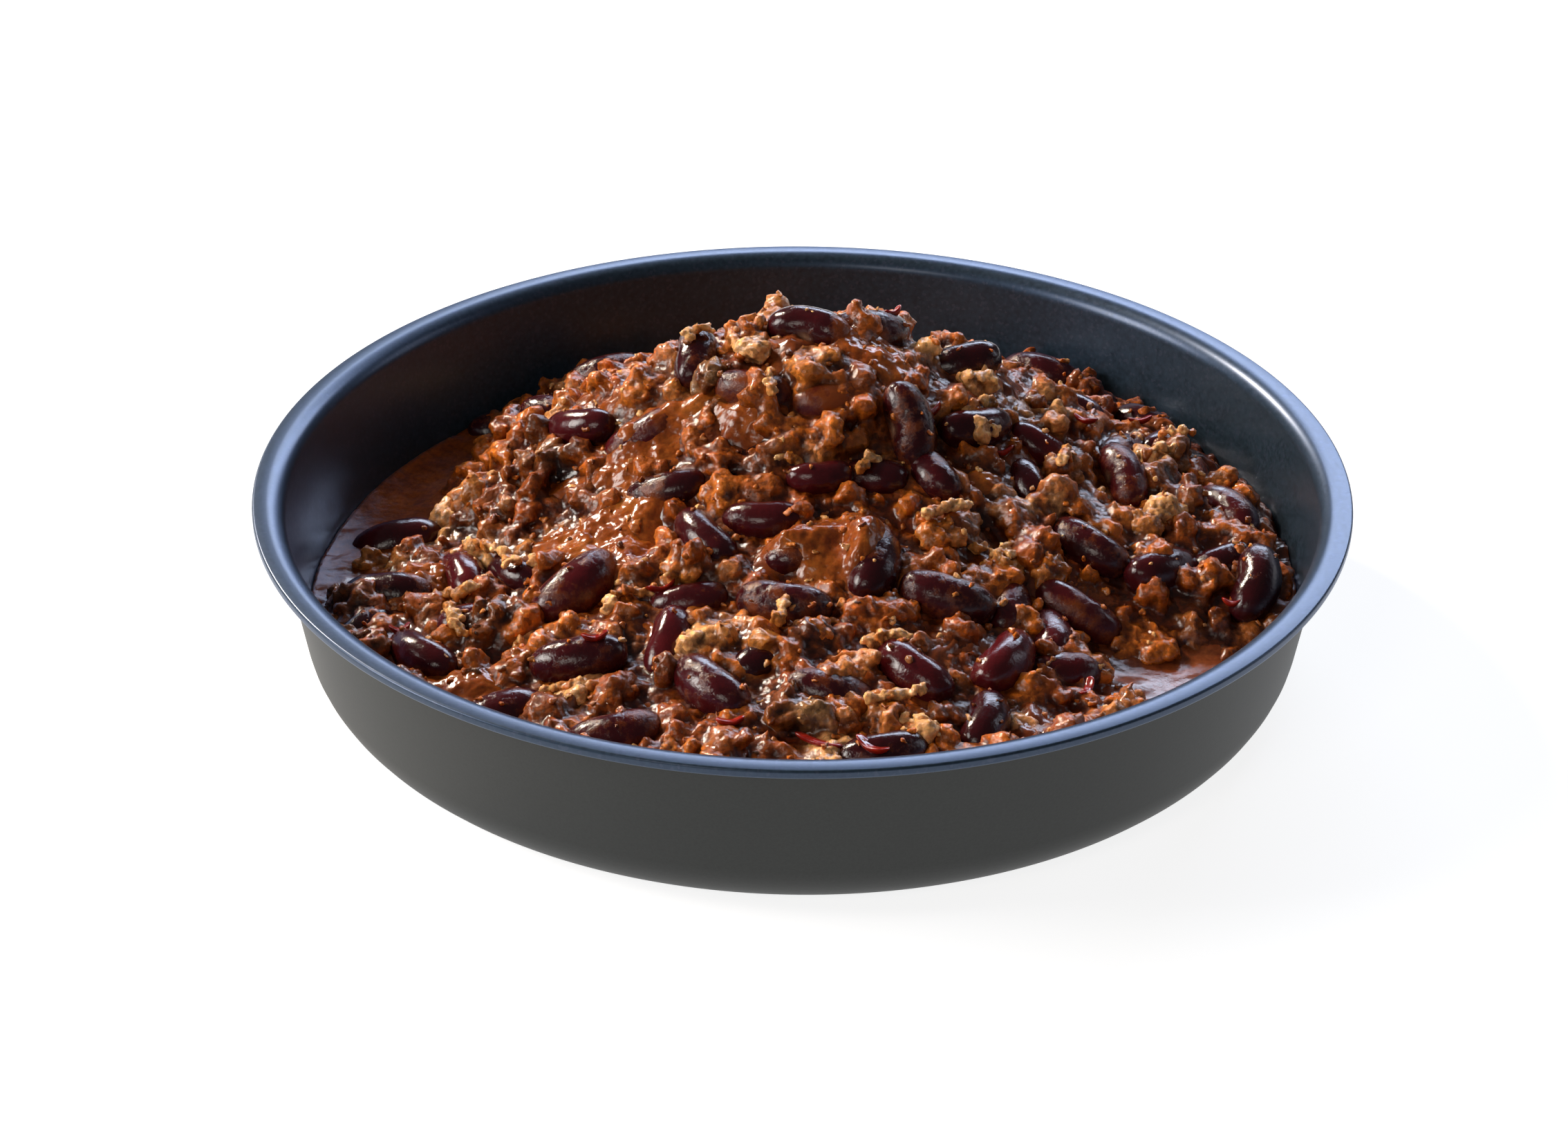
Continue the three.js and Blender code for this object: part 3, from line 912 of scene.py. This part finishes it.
def bean_shape(half, seed, rows=34, sides=26, wrinkle=0.16):
    """A kidney bean about its middle: points, faces and the scar on its hollow side."""
    a, b, c = half
    t = np.linspace(0, math.pi, rows + 1)[1:-1]
    u = np.arange(sides) * (2 * math.pi / sides)
    along = -np.cos(t)[:, None] * np.ones(sides)
    plump = (np.sin(t) ** 0.78)[:, None]
    side = plump * np.cos(u)[None]
    up = plump * np.sin(u)[None]
    hollow = np.where(side > 0, 1 - 0.2 * np.exp(-((along / 0.42) ** 2)), 1.0)
    bend = 0.13 * b
    x = along * a
    y = side * hollow * b * 0.92 + bend * (along**2 - 0.45)
    z = up * c
    points = np.stack([x, y, z], -1).reshape(-1, 3)
    tip = bend * 0.55
    points = np.concatenate([points, [[-a, tip, 0], [a, tip, 0]]])
    rings = rows - 1
    near = np.arange(sides)
    far = (near + 1) % sides
    starts = np.arange(rings - 1)[:, None] * sides
    faces = np.stack([starts + near, starts + sides + near, starts + sides + far, starts + far], -1)
    faces = faces.reshape(-1, 4).tolist()
    first = rings * sides
    last = first - sides
    faces += [[first, int(i), int(j)] for i, j in zip(near, far)]
    faces += [[first + 1, last + int(j), last + int(i)] for i, j in zip(near, far)]
    scar = np.exp(-((points[:, 0] / (0.13 * a)) ** 2) - (points[:, 2] / (0.16 * c)) ** 2) * (points[:, 1] > 0)
    shift = Vector((seed * 3.7, seed * 1.9, seed * 5.1))
    for i, p in enumerate(points):
        v = Vector(p)
        push = wrinkle * noise.noise(Vector((v.x / 5, v.y / 2.2, v.z / 2.2)) + shift)
        push += 0.5 * wrinkle * noise.noise(v / 1.6 + shift)
        points[i] += np.array(v.normalized()) * (push - 0.25 * scar[i])
    return points, faces, scar


def bean_object(name, points, faces, scar, tone, coat, material):
    mesh = poly_mesh(name, points, faces)
    mesh.materials.append(material)
    paint(mesh, "scar", scar)
    paint(mesh, "bean_tone", np.broadcast_to(tone, len(points)))
    paint(mesh, "sauce_coat", np.broadcast_to(coat, len(points)))
    return placed(name, mesh)


# ------------------------------------------------------------------ mince


# How often each of the meat's colours comes up, in sauced meat and in dry.
MEAT_SHARES = {
    "orange": (0.36, 0.12),
    "rust": (0.34, 0.0),
    "brown": (0.22, 0.0),
    "dark": (0.04, 0.0),
    "tan": (0.04, 0.35),
    "pale": (0.0, 0.53),
}


def bit_colours(rng, paleness, clumps, glazed):
    """A colour for each bit of meat, mostly shared by its clump: orange-brown, paler where dry."""
    settings = bpy.context.scene.chili_settings
    table = np.array([tuple(getattr(settings, name)) for name in MEAT_SHARES])
    base, dry = np.array(list(MEAT_SHARES.values())).T
    colours = np.zeros((len(paleness), 3))
    shared = {}
    for i, (p, clump) in enumerate(zip(paleness, clumps)):
        share = base * (1 - p) + dry * p
        own = table[rng.choice(len(table), p=share / share.sum())]
        shared.setdefault(clump, own)
        colours[i] = 0.7 * shared[clump] + 0.3 * own
    colours *= rng.uniform(0.9, 1.1, (len(paleness), 1))
    sauced = table[:2].mean(0)
    return colours * (1 - 0.7 * glazed[:, None]) + sauced * 0.7 * glazed[:, None]


def coloured_by_bits(mesh, middles, colours):
    """Gives each vertex the mean colour of the bits nearest to it."""
    tree = KDTree(len(middles))
    for i, middle in enumerate(middles):
        tree.insert(middle, i)
    tree.balance()
    mixed = np.zeros((len(mesh.vertices), 3))
    for k, point in enumerate(points_of(mesh)):
        found = tree.find_n(point, 3)
        weights = np.array([1 / (0.2 + away) ** 3 for _, _, away in found])
        mixed[k] = weights @ colours[[i for _, i, _ in found]] / weights.sum()
    return mixed


def paint_meat(mesh, middles, colours, depth=None):
    """Colours the meat by its bits, with painted shade and light: darker and redder in its hollows, partly
    pooled sauce and partly painted shade, and golden where it stands out, partly drier meat and partly
    painted light.
    """
    film = values_of(mesh.attributes["film"].data, "value", 1)[:, 0]
    out = smoothstep(-0.6, 0.6, standing_out(mesh, 10) + 0.35 * standing_out(mesh, 50)) * (1 - 0.5 * film)
    # Painted shade: the further a vertex lies below the meat's surface, the more of the dark hollow colour it
    # is given.
    if depth is not None:
        out *= 0.3 + 0.7 * smoothstep(-3.5, 0.5, depth)
    out = out[:, None]
    # Dark, red hollows are partly pooled sauce and partly painted shade; light tops are partly drier meat and
    # partly painted light.
    sauce_shade_and_light_tint = HOLLOW_SAUCE_AND_SHADE_TINT + (PROUD_DRY_AND_LIT_TINT - HOLLOW_SAUCE_AND_SHADE_TINT) * out
    paint(mesh, "bit_colour", coloured_by_bits(mesh, middles, colours) * sauce_shade_and_light_tint)


def scattered(spacing, reach, rng):
    """Places over the dish, about one spacing apart and unevenly set."""
    places = [
        (-reach + (column + 0.5 * (row % 2)) * spacing, -reach + row * spacing * 0.866)
        for row in range(int(2 * reach / (spacing * 0.866)) + 1)
        for column in range(int(2 * reach / spacing) + 1)
    ]
    places = np.array(places) + rng.normal(0, spacing * 0.3, (len(places), 2))
    return places[np.hypot(places[:, 0], places[:, 1]) < reach]


class Bits:
    """A growing list of chips: middles, half sizes, paleness and which clump each is of."""

    def __init__(self):
        self.middles = []
        self.sizes = []
        self.paleness = []
        self.clumps = []
        self.count = 0

    def clump(self, middle, reach, many, size, paleness, rng, flat=0.7):
        for _ in range(many):
            way = rng.normal(size=3)
            way *= reach * rng.random() ** 0.42 / np.linalg.norm(way)
            way[2] *= flat
            r = size * rng.uniform(0.55, 1.25)
            self.middles.append(np.asarray(middle) + way)
            self.sizes.append(r * rng.uniform(0.7, 1.35, 3))
            self.paleness.append(min(1, max(0, paleness + rng.normal(0, 0.12))))
            self.clumps.append(self.count)
        self.count += 1

    def arrays(self):
        return [np.array(kept) for kept in (self.middles, self.sizes, self.paleness, self.clumps)]


def clear_of_beans(middles, sizes, places, rng, over=0.15):
    """Which chips lie beside the beans: a few are left on top of them."""
    keep = np.ones(len(middles), bool)
    reach = sizes.mean(1)
    for place in places:
        out = place.outside(middles, 0.3 * reach[:, None])
        on_top = (place.outside(middles * [1, 1, 0] + [0, 0, place.middle[2]], 0.0) < 0.78) & (
            middles[:, 2] > place.middle[2]
        )
        keep &= (out > 1) | (rng.random(len(middles)) < 0.03)
        keep &= ~on_top | (rng.random(len(middles)) < over)
    return keep


# ------------------------------------------------------------------ operators


class CHILI_OT_dish(bpy.types.Operator):
    """Turn the dish: pressed aluminium, hard-anodised outside, non-stick coated inside and on the lip"""

    bl_idname = "chili.dish"
    bl_label = "Dish"

    def execute(self, context):
        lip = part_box("dish")[1]
        section = dish_section(context.scene.dish_settings, lip.x / MM, lip.z / MM)
        made = turned("frying_dish", section, DISH_SIDES)
        made.data.materials.append(anodised_material())
        made.data.materials.append(coating_material())
        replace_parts(ride_with_dish(made), "dish")
        return {"FINISHED"}


class CHILI_OT_sauce(bpy.types.Operator):
    """Pour the sauce: open pools, the wet ground between the meat and smooth sheets over part of it"""

    bl_idname = "chili.sauce"
    bl_label = "Sauce"

    def execute(self, context):
        heap = store.heap
        dish = context.scene.dish_settings
        made = filled_to("tomato_sauce", dish, heap.sauce.at, cells=260, clearance=0.15, low=2.2)
        made.data.materials.append(sauce_material())
        points = points_of(made.data)
        plan = points[:, :2].T
        top = smoothstep(0.2, 0.6, normals_of(made.data)[:, 2])
        ripple = fractal(points, size=4.5, rough=0.8, octaves=4, gap=2.1)
        calm = heap.heaped.at(*plan)
        lumps = 0.5 - cell_distance(points, size=3.6)
        points[:, 2] += top * (ripple * (0.13 + 0.7 * calm) + 0.9 * calm * lumps)
        put_points(made.data, points)
        paint(made.data, "open_sauce", 1 - heap.glazed.at(*plan))
        # Painted light and shade: 1 on the left, where the sauce is painted a brighter orange, and 0 on the
        # right, where it is painted darker.
        paint(made.data, "pool_tone", smoothstep(20, -50, points[:, 0]))
        ride_with_dish(made)
        return {"FINISHED"}


class CHILI_OT_mince(bpy.types.Operator):
    """Heap the minced meat: thousands of granules in clumps, run together into one moist crust over a core"""

    bl_idname = "chili.mince"
    bl_label = "Mince"

    def execute(self, context):
        settings = context.scene.chili_settings
        rng = np.random.default_rng(settings.seed)
        heap = store.heap
        bits = Bits()
        for x, y in scattered(settings.granule * CLUMP_SPACING, CLUMP_REACH, rng):
            heaped = float(heap.heaped.at(x, y))
            if rng.random() > 0.12 + 0.88 * heaped:
                continue
            glazed = float(heap.glazed.at(x, y))
            reach = settings.granule * rng.choice(CLUMP_SPREADS, p=SPREAD_SHARES)
            z = float(heap.meat.at(x, y)) - 0.4 * reach - 1.8 * glazed + rng.normal(0, 0.7)
            z -= 1.2 * (1 - heaped)
            many = int(4.2 * (reach / settings.granule) ** 2 + 3)
            bits.clump((x, y, z), reach, many, settings.granule * CHIP_SIZE, rng.beta(0.5, 5), rng)
        middles, sizes, paleness, clumps = bits.arrays()
        inside = np.hypot(middles[:, 0], middles[:, 1]) < CHIP_REACH
        keep = inside & clear_of_beans(middles, sizes, store.places, rng)
        middles, sizes, paleness, clumps = middles[keep], sizes[keep], paleness[keep], clumps[keep]

        crumbs = mesh_object("minced_meat", *chips(middles, sizes, rng))
        core = filled_to("core", context.scene.dish_settings, heap.core_at, cells=110, clearance=1.4, low=3.0)
        with editing(crumbs) as shape:
            shape.from_mesh(core.data)
        bpy.data.meshes.remove(core.data)
        fused(crumbs, settings.grain)
        settled(crumbs, 1)
        self.flatten_bottom(crumbs)

        mesh = crumbs.data
        saucy = smoothstep(-0.55, 0.12, fractal(points_of(mesh), size=13, rough=0.8, octaves=2))
        film = filled_in(mesh, passes=14, fill=0.65 + 0.33 * saucy, soften=0.2)
        film += filled_in(mesh, passes=50, fill=0.85 * saucy, soften=0.0)
        film = smoothstep(0.15, 1.3, film)
        paint(mesh, "film", film)
        points = points_of(mesh)
        normals = normals_of(mesh)
        rough = nodular(points, normals, size=2.1, depth=0.9)
        rough = roughened(rough, normals, size=2.4, depth=0.5, octaves=5)
        shift = (rough - points) * smoothstep(5, 9, points[:, 2])[:, None]
        shift *= 1 - 0.5 * heap.glazed.at(*points[:, :2].T)[:, None]
        shift *= 1 - 0.7 * film[:, None]
        put_points(mesh, points + shift)
        thinned(crumbs)
        mesh = crumbs.data
        points = points_of(mesh)

        colours = bit_colours(rng, paleness, clumps, heap.glazed.at(*middles[:, :2].T))
        paint_meat(mesh, middles, colours, points[:, 2] - heap.meat.at(*points[:, :2].T))
        mesh.materials.append(mince_material())
        mesh.shade_smooth()
        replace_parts(ride_with_dish(crumbs), "chili")
        return {"FINISHED"}

    def flatten_bottom(self, obj):
        """The core's flat underside becomes one face."""
        with editing(obj) as shape:
            low = min(vert.co.z for vert in shape.verts)
            everything = shape.verts[:] + shape.edges[:] + shape.faces[:]
            cut = {"plane_co": (0, 0, low + 1.2 * MM), "plane_no": (0, 0, 1), "clear_inner": True}
            bmesh.ops.bisect_plane(shape, geom=everything, **cut)
            bmesh.ops.holes_fill(shape, edges=[edge for edge in shape.edges if edge.is_boundary], sides=0)


class CHILI_OT_beans(bpy.types.Operator):
    """Lay the kidney beans of the CAD part: each with its own size, bend, tone and smears of sauce"""

    bl_idname = "chili.beans"
    bl_label = "Kidney beans"

    def execute(self, context):
        rng = np.random.default_rng(SEEDS["beans"])
        store.bean_skin = bean_material(context.scene.chili_settings.smear)
        for number, place in enumerate(store.places):
            points, faces, scar = bean_shape(place.half * [1.02, 1.06, 1.04], number)
            points = points @ place.axes + place.middle
            coat = rng.uniform(-0.02, 0.19) + 0.25 * store.heap.glazed.at(*points[:, :2].T)
            tone = rng.uniform(0.1, 0.45)
            made = bean_object(f"kidney_{place.name}", points, faces, scar, tone, coat, store.bean_skin)
            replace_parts(ride_with_dish(made), place.name)
        return {"FINISHED"}


class CHILI_OT_sunk_beans(bpy.types.Operator):
    """Sink more beans into the sauce and meat, so that only their backs show"""

    bl_idname = "chili.sunk_beans"
    bl_label = "Sunk beans"

    def execute(self, context):
        rng = np.random.default_rng(SEEDS["sunk_beans"])
        beans = []
        faces = []
        count = 0
        for number, (x, y, heading, depth) in enumerate(SUNK_BEANS):
            size = rng.uniform(0.86, 1.02)
            points, sides, scar = bean_shape(np.array([8.4, 5.1, 4.7]) * size, 50 + number, rows=26, sides=20)
            z = float(store.heap.meat.at(x, y)) - depth
            roll = Matrix.Rotation(rng.uniform(-0.35, 0.35), 3, "X")
            pitch = Matrix.Rotation(rng.uniform(-0.25, 0.25), 3, "Y")
            points = points @ np.array(turned_to(heading) @ (roll @ pitch)).T + [x, y, z]
            faces += [[i + count for i in side] for side in sides]
            count += len(points)
            tone = np.full(len(points), rng.uniform(0.05, 0.4))
            coat = rng.uniform(0.02, 0.22) + 0.2 * store.heap.glazed.at(*points[:, :2].T)
            beans.append((points, scar, tone, coat))
        points, scar, tone, coat = (np.concatenate(kind) for kind in zip(*beans))
        made = bean_object("sunk_beans", points, faces, scar, tone, coat, store.bean_skin)
        ride_with_dish(made)
        return {"FINISHED"}


class CHILI_OT_crumbs(bpy.types.Operator):
    """Scatter the larger lumps of meat, pale dry crumbs on top, and fine ones over the heap and beans"""

    bl_idname = "chili.crumbs"
    bl_label = "Loose crumbs"

    def execute(self, context):
        rng = np.random.default_rng(SEEDS["crumbs"])
        self.lumps(rng)
        find_surfaces()
        self.pale(rng)
        self.fine(rng)
        return {"FINISHED"}

    def lumps(self, rng):
        bits = Bits()
        for x, y, size, up, paleness in BIG_LUMPS:
            z = float(store.heap.meat.at(x, y)) + up - 0.35 * size
            bits.clump((x, y, z), size * 0.55, int(size * 4), 1.8, paleness, rng, flat=0.8)
        self.make("meat_lumps", bits, rng, grain=0.5, depth=0.4, size=1.2)

    def pale(self, rng):
        bits = Bits()
        for x, y, length, heading in PALE_CRUMBS:
            way = np.array([math.cos(math.radians(heading)), math.sin(math.radians(heading)), 0])
            z = surface_height(x, y) + 0.6
            for step in np.linspace(-0.5, 0.5, max(3, int(length / 1.5))):
                spot = np.array([x, y, z]) + way * step * length + [0, 0, 0.6 * math.cos(step * 3)]
                bits.clump(spot, 1.0, 4, 1.0, 0.9, rng, flat=0.9)
        self.make("pale_crumbs", bits, rng, grain=0.42, depth=0.38, size=0.9)

    def fine(self, rng):
        bits = Bits()
        for x, y in scattered(5.2, CRUMB_REACH, rng):
            if rng.random() > 0.8 * float(store.heap.heaped.at(x, y)):
                continue
            z = surface_height(x, y)
            bits.clump((x, y, z), 0.8, rng.integers(2, 6), rng.uniform(0.4, 0.7), 0.3, rng, flat=0.4)
        self.make("fine_crumbs", bits, rng, grain=0.36, depth=0.25, size=0.8)

    def make(self, name, bits, rng, grain, depth, size):
        """One piece from its bits, run together on this grain, with relief of this depth and size."""
        middles, sizes, paleness, clumps = bits.arrays()
        made = fused(mesh_object(name, *chips(middles, sizes, rng)), grain)
        paint(made.data, "film", smoothstep(0.1, 0.8, filled_in(made.data, passes=10, fill=0.9, soften=0.1)))
        points = points_of(made.data)
        normals = normals_of(made.data)
        points = nodular(points, normals, 2 * size, 1.2 * depth)
        put_points(made.data, roughened(points, normals, size, depth, octaves=3, shift=9.0))
        thinned(made)
        paint_meat(made.data, middles, bit_colours(rng, paleness, clumps, np.zeros(len(middles))))
        made.data.materials.append(bpy.data.materials["Simmered minced meat"])
        made.data.shade_smooth()
        ride_with_dish(made)


def find_surfaces():
    """Search trees over the pieces that loose bits can lie on."""
    graph = bpy.context.evaluated_depsgraph_get()
    names = ["minced_meat", "tomato_sauce", "meat_lumps", "sunk_beans"] + [f"kidney_{name}" for name in BEANS]
    store.surfaces = [BVHTree.FromObject(bpy.data.objects[name], graph) for name in names]


def surface_height(x, y):
    """The height of whatever shows at a place: meat, sauce or bean."""
    above = Vector((x, y, 200)) * MM
    hits = [tree.ray_cast(above, Vector((0, 0, -1)))[0] for tree in store.surfaces]
    return max(hit.z for hit in hits if hit) / MM


class CHILI_OT_red_bits(bpy.types.Operator):
    """Lay the bits of red pepper and tomato skin: thin curled strips"""

    bl_idname = "chili.red_bits"
    bl_label = "Red bits"

    def execute(self, context):
        rng = np.random.default_rng(SEEDS["red_bits"])
        points, faces = [], []
        for x, y, length, width, heading, stand in RED_BITS:
            strip, quads = self.strip(length, width, rng)
            turn = np.array(turned_to(heading) @ Matrix.Rotation(math.radians(-stand), 3, "X"))
            strip = strip @ turn.T + [x, y, surface_height(x, y) + 0.5]
            faces.append(quads + sum(len(p) for p in points))
            points.append(strip)
        made = mesh_object("red_skin_bits", np.concatenate(points), np.concatenate(faces), pepper_material())
        ride_with_dish(made)
        return {"FINISHED"}

    def strip(self, length, width, rng):
        """One curled strip with rounded, uneven edges, closed all round."""
        steps, sides = 24, 12
        curl = rng.uniform(0.5, 1.6)
        points = []
        for i in range(steps + 1):
            t = i / steps
            u = 2 * t - 1
            end = max(0.12, (1 - abs(u) ** 4) ** 0.5)
            for j in range(sides):
                a = 2 * math.pi * j / sides
                side = 0.5 * width * end * math.cos(a) * (1 + 0.15 * math.sin(7 * t + a))
                thick = 0.6 * end * math.sin(a)
                bow = curl * (u * u + (side / width) ** 2 * 1.5)
                points.append((u * length / 2, side, thick + bow))
        points = np.array(points)
        points[:, 2] -= points[:, 2].mean()
        index = np.arange((steps + 1) * sides).reshape(steps + 1, sides)
        ahead = np.roll(index, -1, 1)
        quads = np.stack([index[:-1], ahead[:-1], ahead[1:], index[1:]], -1).reshape(-1, 4)
        caps = []
        for ring, flip in ((index[0], True), (index[-1], False)):
            loop = list(ring[::-1] if flip else ring)
            for k in range(1, sides // 2):
                caps.append([loop[k - 1], loop[k], loop[-k - 1], loop[-k]])
        return points, np.concatenate([quads, np.array(caps)])


class CHILI_OT_stage(bpy.types.Operator):
    """Set the stage: a white paper floor, soft lights and the camera"""

    bl_idname = "chili.stage"
    bl_label = "Stage"

    def execute(self, context):
        scene = context.scene
        corners = [(4000 * x, 4000 * y, -0.05) for x, y in ((-1, -1), (1, -1), (1, 1), (-1, 1))]
        mesh_object("studio_floor", corners, [[0, 1, 2, 3]], floor_material(), smooth=False)
        self.camera(scene)
        for light in (
            ("back_light", (0.3, 1.25, 0.72), (1.1, 0.35), 13, "#d8e6ff"),
            ("key_light", (-0.75, 0.85, 0.8), (0.16, 0.16), 21, "#fff0dc"),
            ("left_light", (-1.1, -0.1, 0.6), (0.5, 0.5), 13, "#fffaf4"),
            ("front_light", (-0.5, -1.1, 0.9), (0.4, 0.3), 2.4, "#fff6ec"),
            ("right_light", (1.2, 0.35, 0.6), (0.3, 0.6), 1.2, "#e8efff"),
        ):
            self.light(*light)
        world = bpy.data.worlds.new("studio_air")
        scene.world = world
        world.use_nodes = True
        tree = world.node_tree
        tree.nodes.clear()
        seen = add(tree, "LightPath").outputs["Is Camera Ray"]
        white = add(tree, "Background", {"Color": "#ffffff", "Strength": 1.2})
        air = add(tree, "Background", {"Color": "#dfe6f0", "Strength": 0.09})
        mix = add(tree, "MixShader", links={0: seen, 1: air, 2: white})
        add(tree, "OutputWorld", links={"Surface": mix})
        scene.view_settings.view_transform = "Standard"
        return {"FINISHED"}

    def light(self, name, place, size, power, colour):
        lamp = bpy.data.lights.new(name, "AREA")
        lamp.shape = "RECTANGLE"
        lamp.size, lamp.size_y = size
        lamp.energy = power
        lamp.color = linear(colour)[:3]
        made = placed(name, lamp)
        made.location = place
        made.rotation_euler = (Vector((0, 0, 0.02)) - Vector(place)).to_track_quat("-Z", "Y").to_euler()

    def camera(self, scene):
        """About 63 cm from the dish and 30 degrees above it, with a long lens."""
        elevation, roll, distance, drop = math.radians(29.82), math.radians(0.46), 0.6333, -0.01793
        back = Vector((0, -math.cos(elevation), math.sin(elevation)))
        right = Vector((1, 0, 0))
        up = Vector((0, math.sin(elevation), math.cos(elevation)))
        aside = right * math.cos(roll) + up * math.sin(roll)
        above = up * math.cos(roll) - right * math.sin(roll)
        lens = bpy.data.cameras.new("camera")
        lens.lens = 79.37
        lens.sensor_width = 36
        lens.shift_x = -0.012
        made = placed("camera", lens)
        made.matrix_world = Matrix.Translation(
            back * distance + above * drop + Vector((0, 0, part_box("dish")[1].z))
        ) @ Matrix((aside, above, back)).transposed().to_4x4()
        scene.camera = made


class CHILI_PT_panel(bpy.types.Panel):
    """Lists the pieces of the dish of chili, in the order in which they are made"""

    bl_idname = "CHILI_PT_panel"
    bl_label = "Chili con carne"
    bl_space_type = "VIEW_3D"
    bl_region_type = "UI"
    bl_category = "Chili"

    def draw(self, context):
        for settings in (context.scene.chili_settings, context.scene.dish_settings):
            for name in settings.__annotations__:
                self.layout.prop(settings, name)
        for step in STEPS:
            self.layout.operator(step.bl_idname)


STEPS = (
    CHILI_OT_dish,
    CHILI_OT_sauce,
    CHILI_OT_mince,
    CHILI_OT_beans,
    CHILI_OT_sunk_beans,
    CHILI_OT_crumbs,
    CHILI_OT_red_bits,
    CHILI_OT_stage,
)
CLASSES = (ChiliSettings, DishSettings, *STEPS, CHILI_PT_panel)


def register():
    for cls in CLASSES:
        bpy.utils.register_class(cls)
    bpy.types.Scene.chili_settings = bpy.props.PointerProperty(type=ChiliSettings)
    bpy.types.Scene.dish_settings = bpy.props.PointerProperty(type=DishSettings)


def unregister():
    del bpy.types.Scene.dish_settings
    del bpy.types.Scene.chili_settings
    for cls in reversed(CLASSES):
        bpy.utils.unregister_class(cls)


def main():
    register()
    store.heap = Heap(bpy.context.scene.chili_settings.sauce_depth)
    store.places = [BeanPlace(name) for name in BEANS]
    for step in STEPS:
        group, name = step.bl_idname.split(".")
        getattr(getattr(bpy.ops, group), name)()


if __name__ == "__main__":
    main()
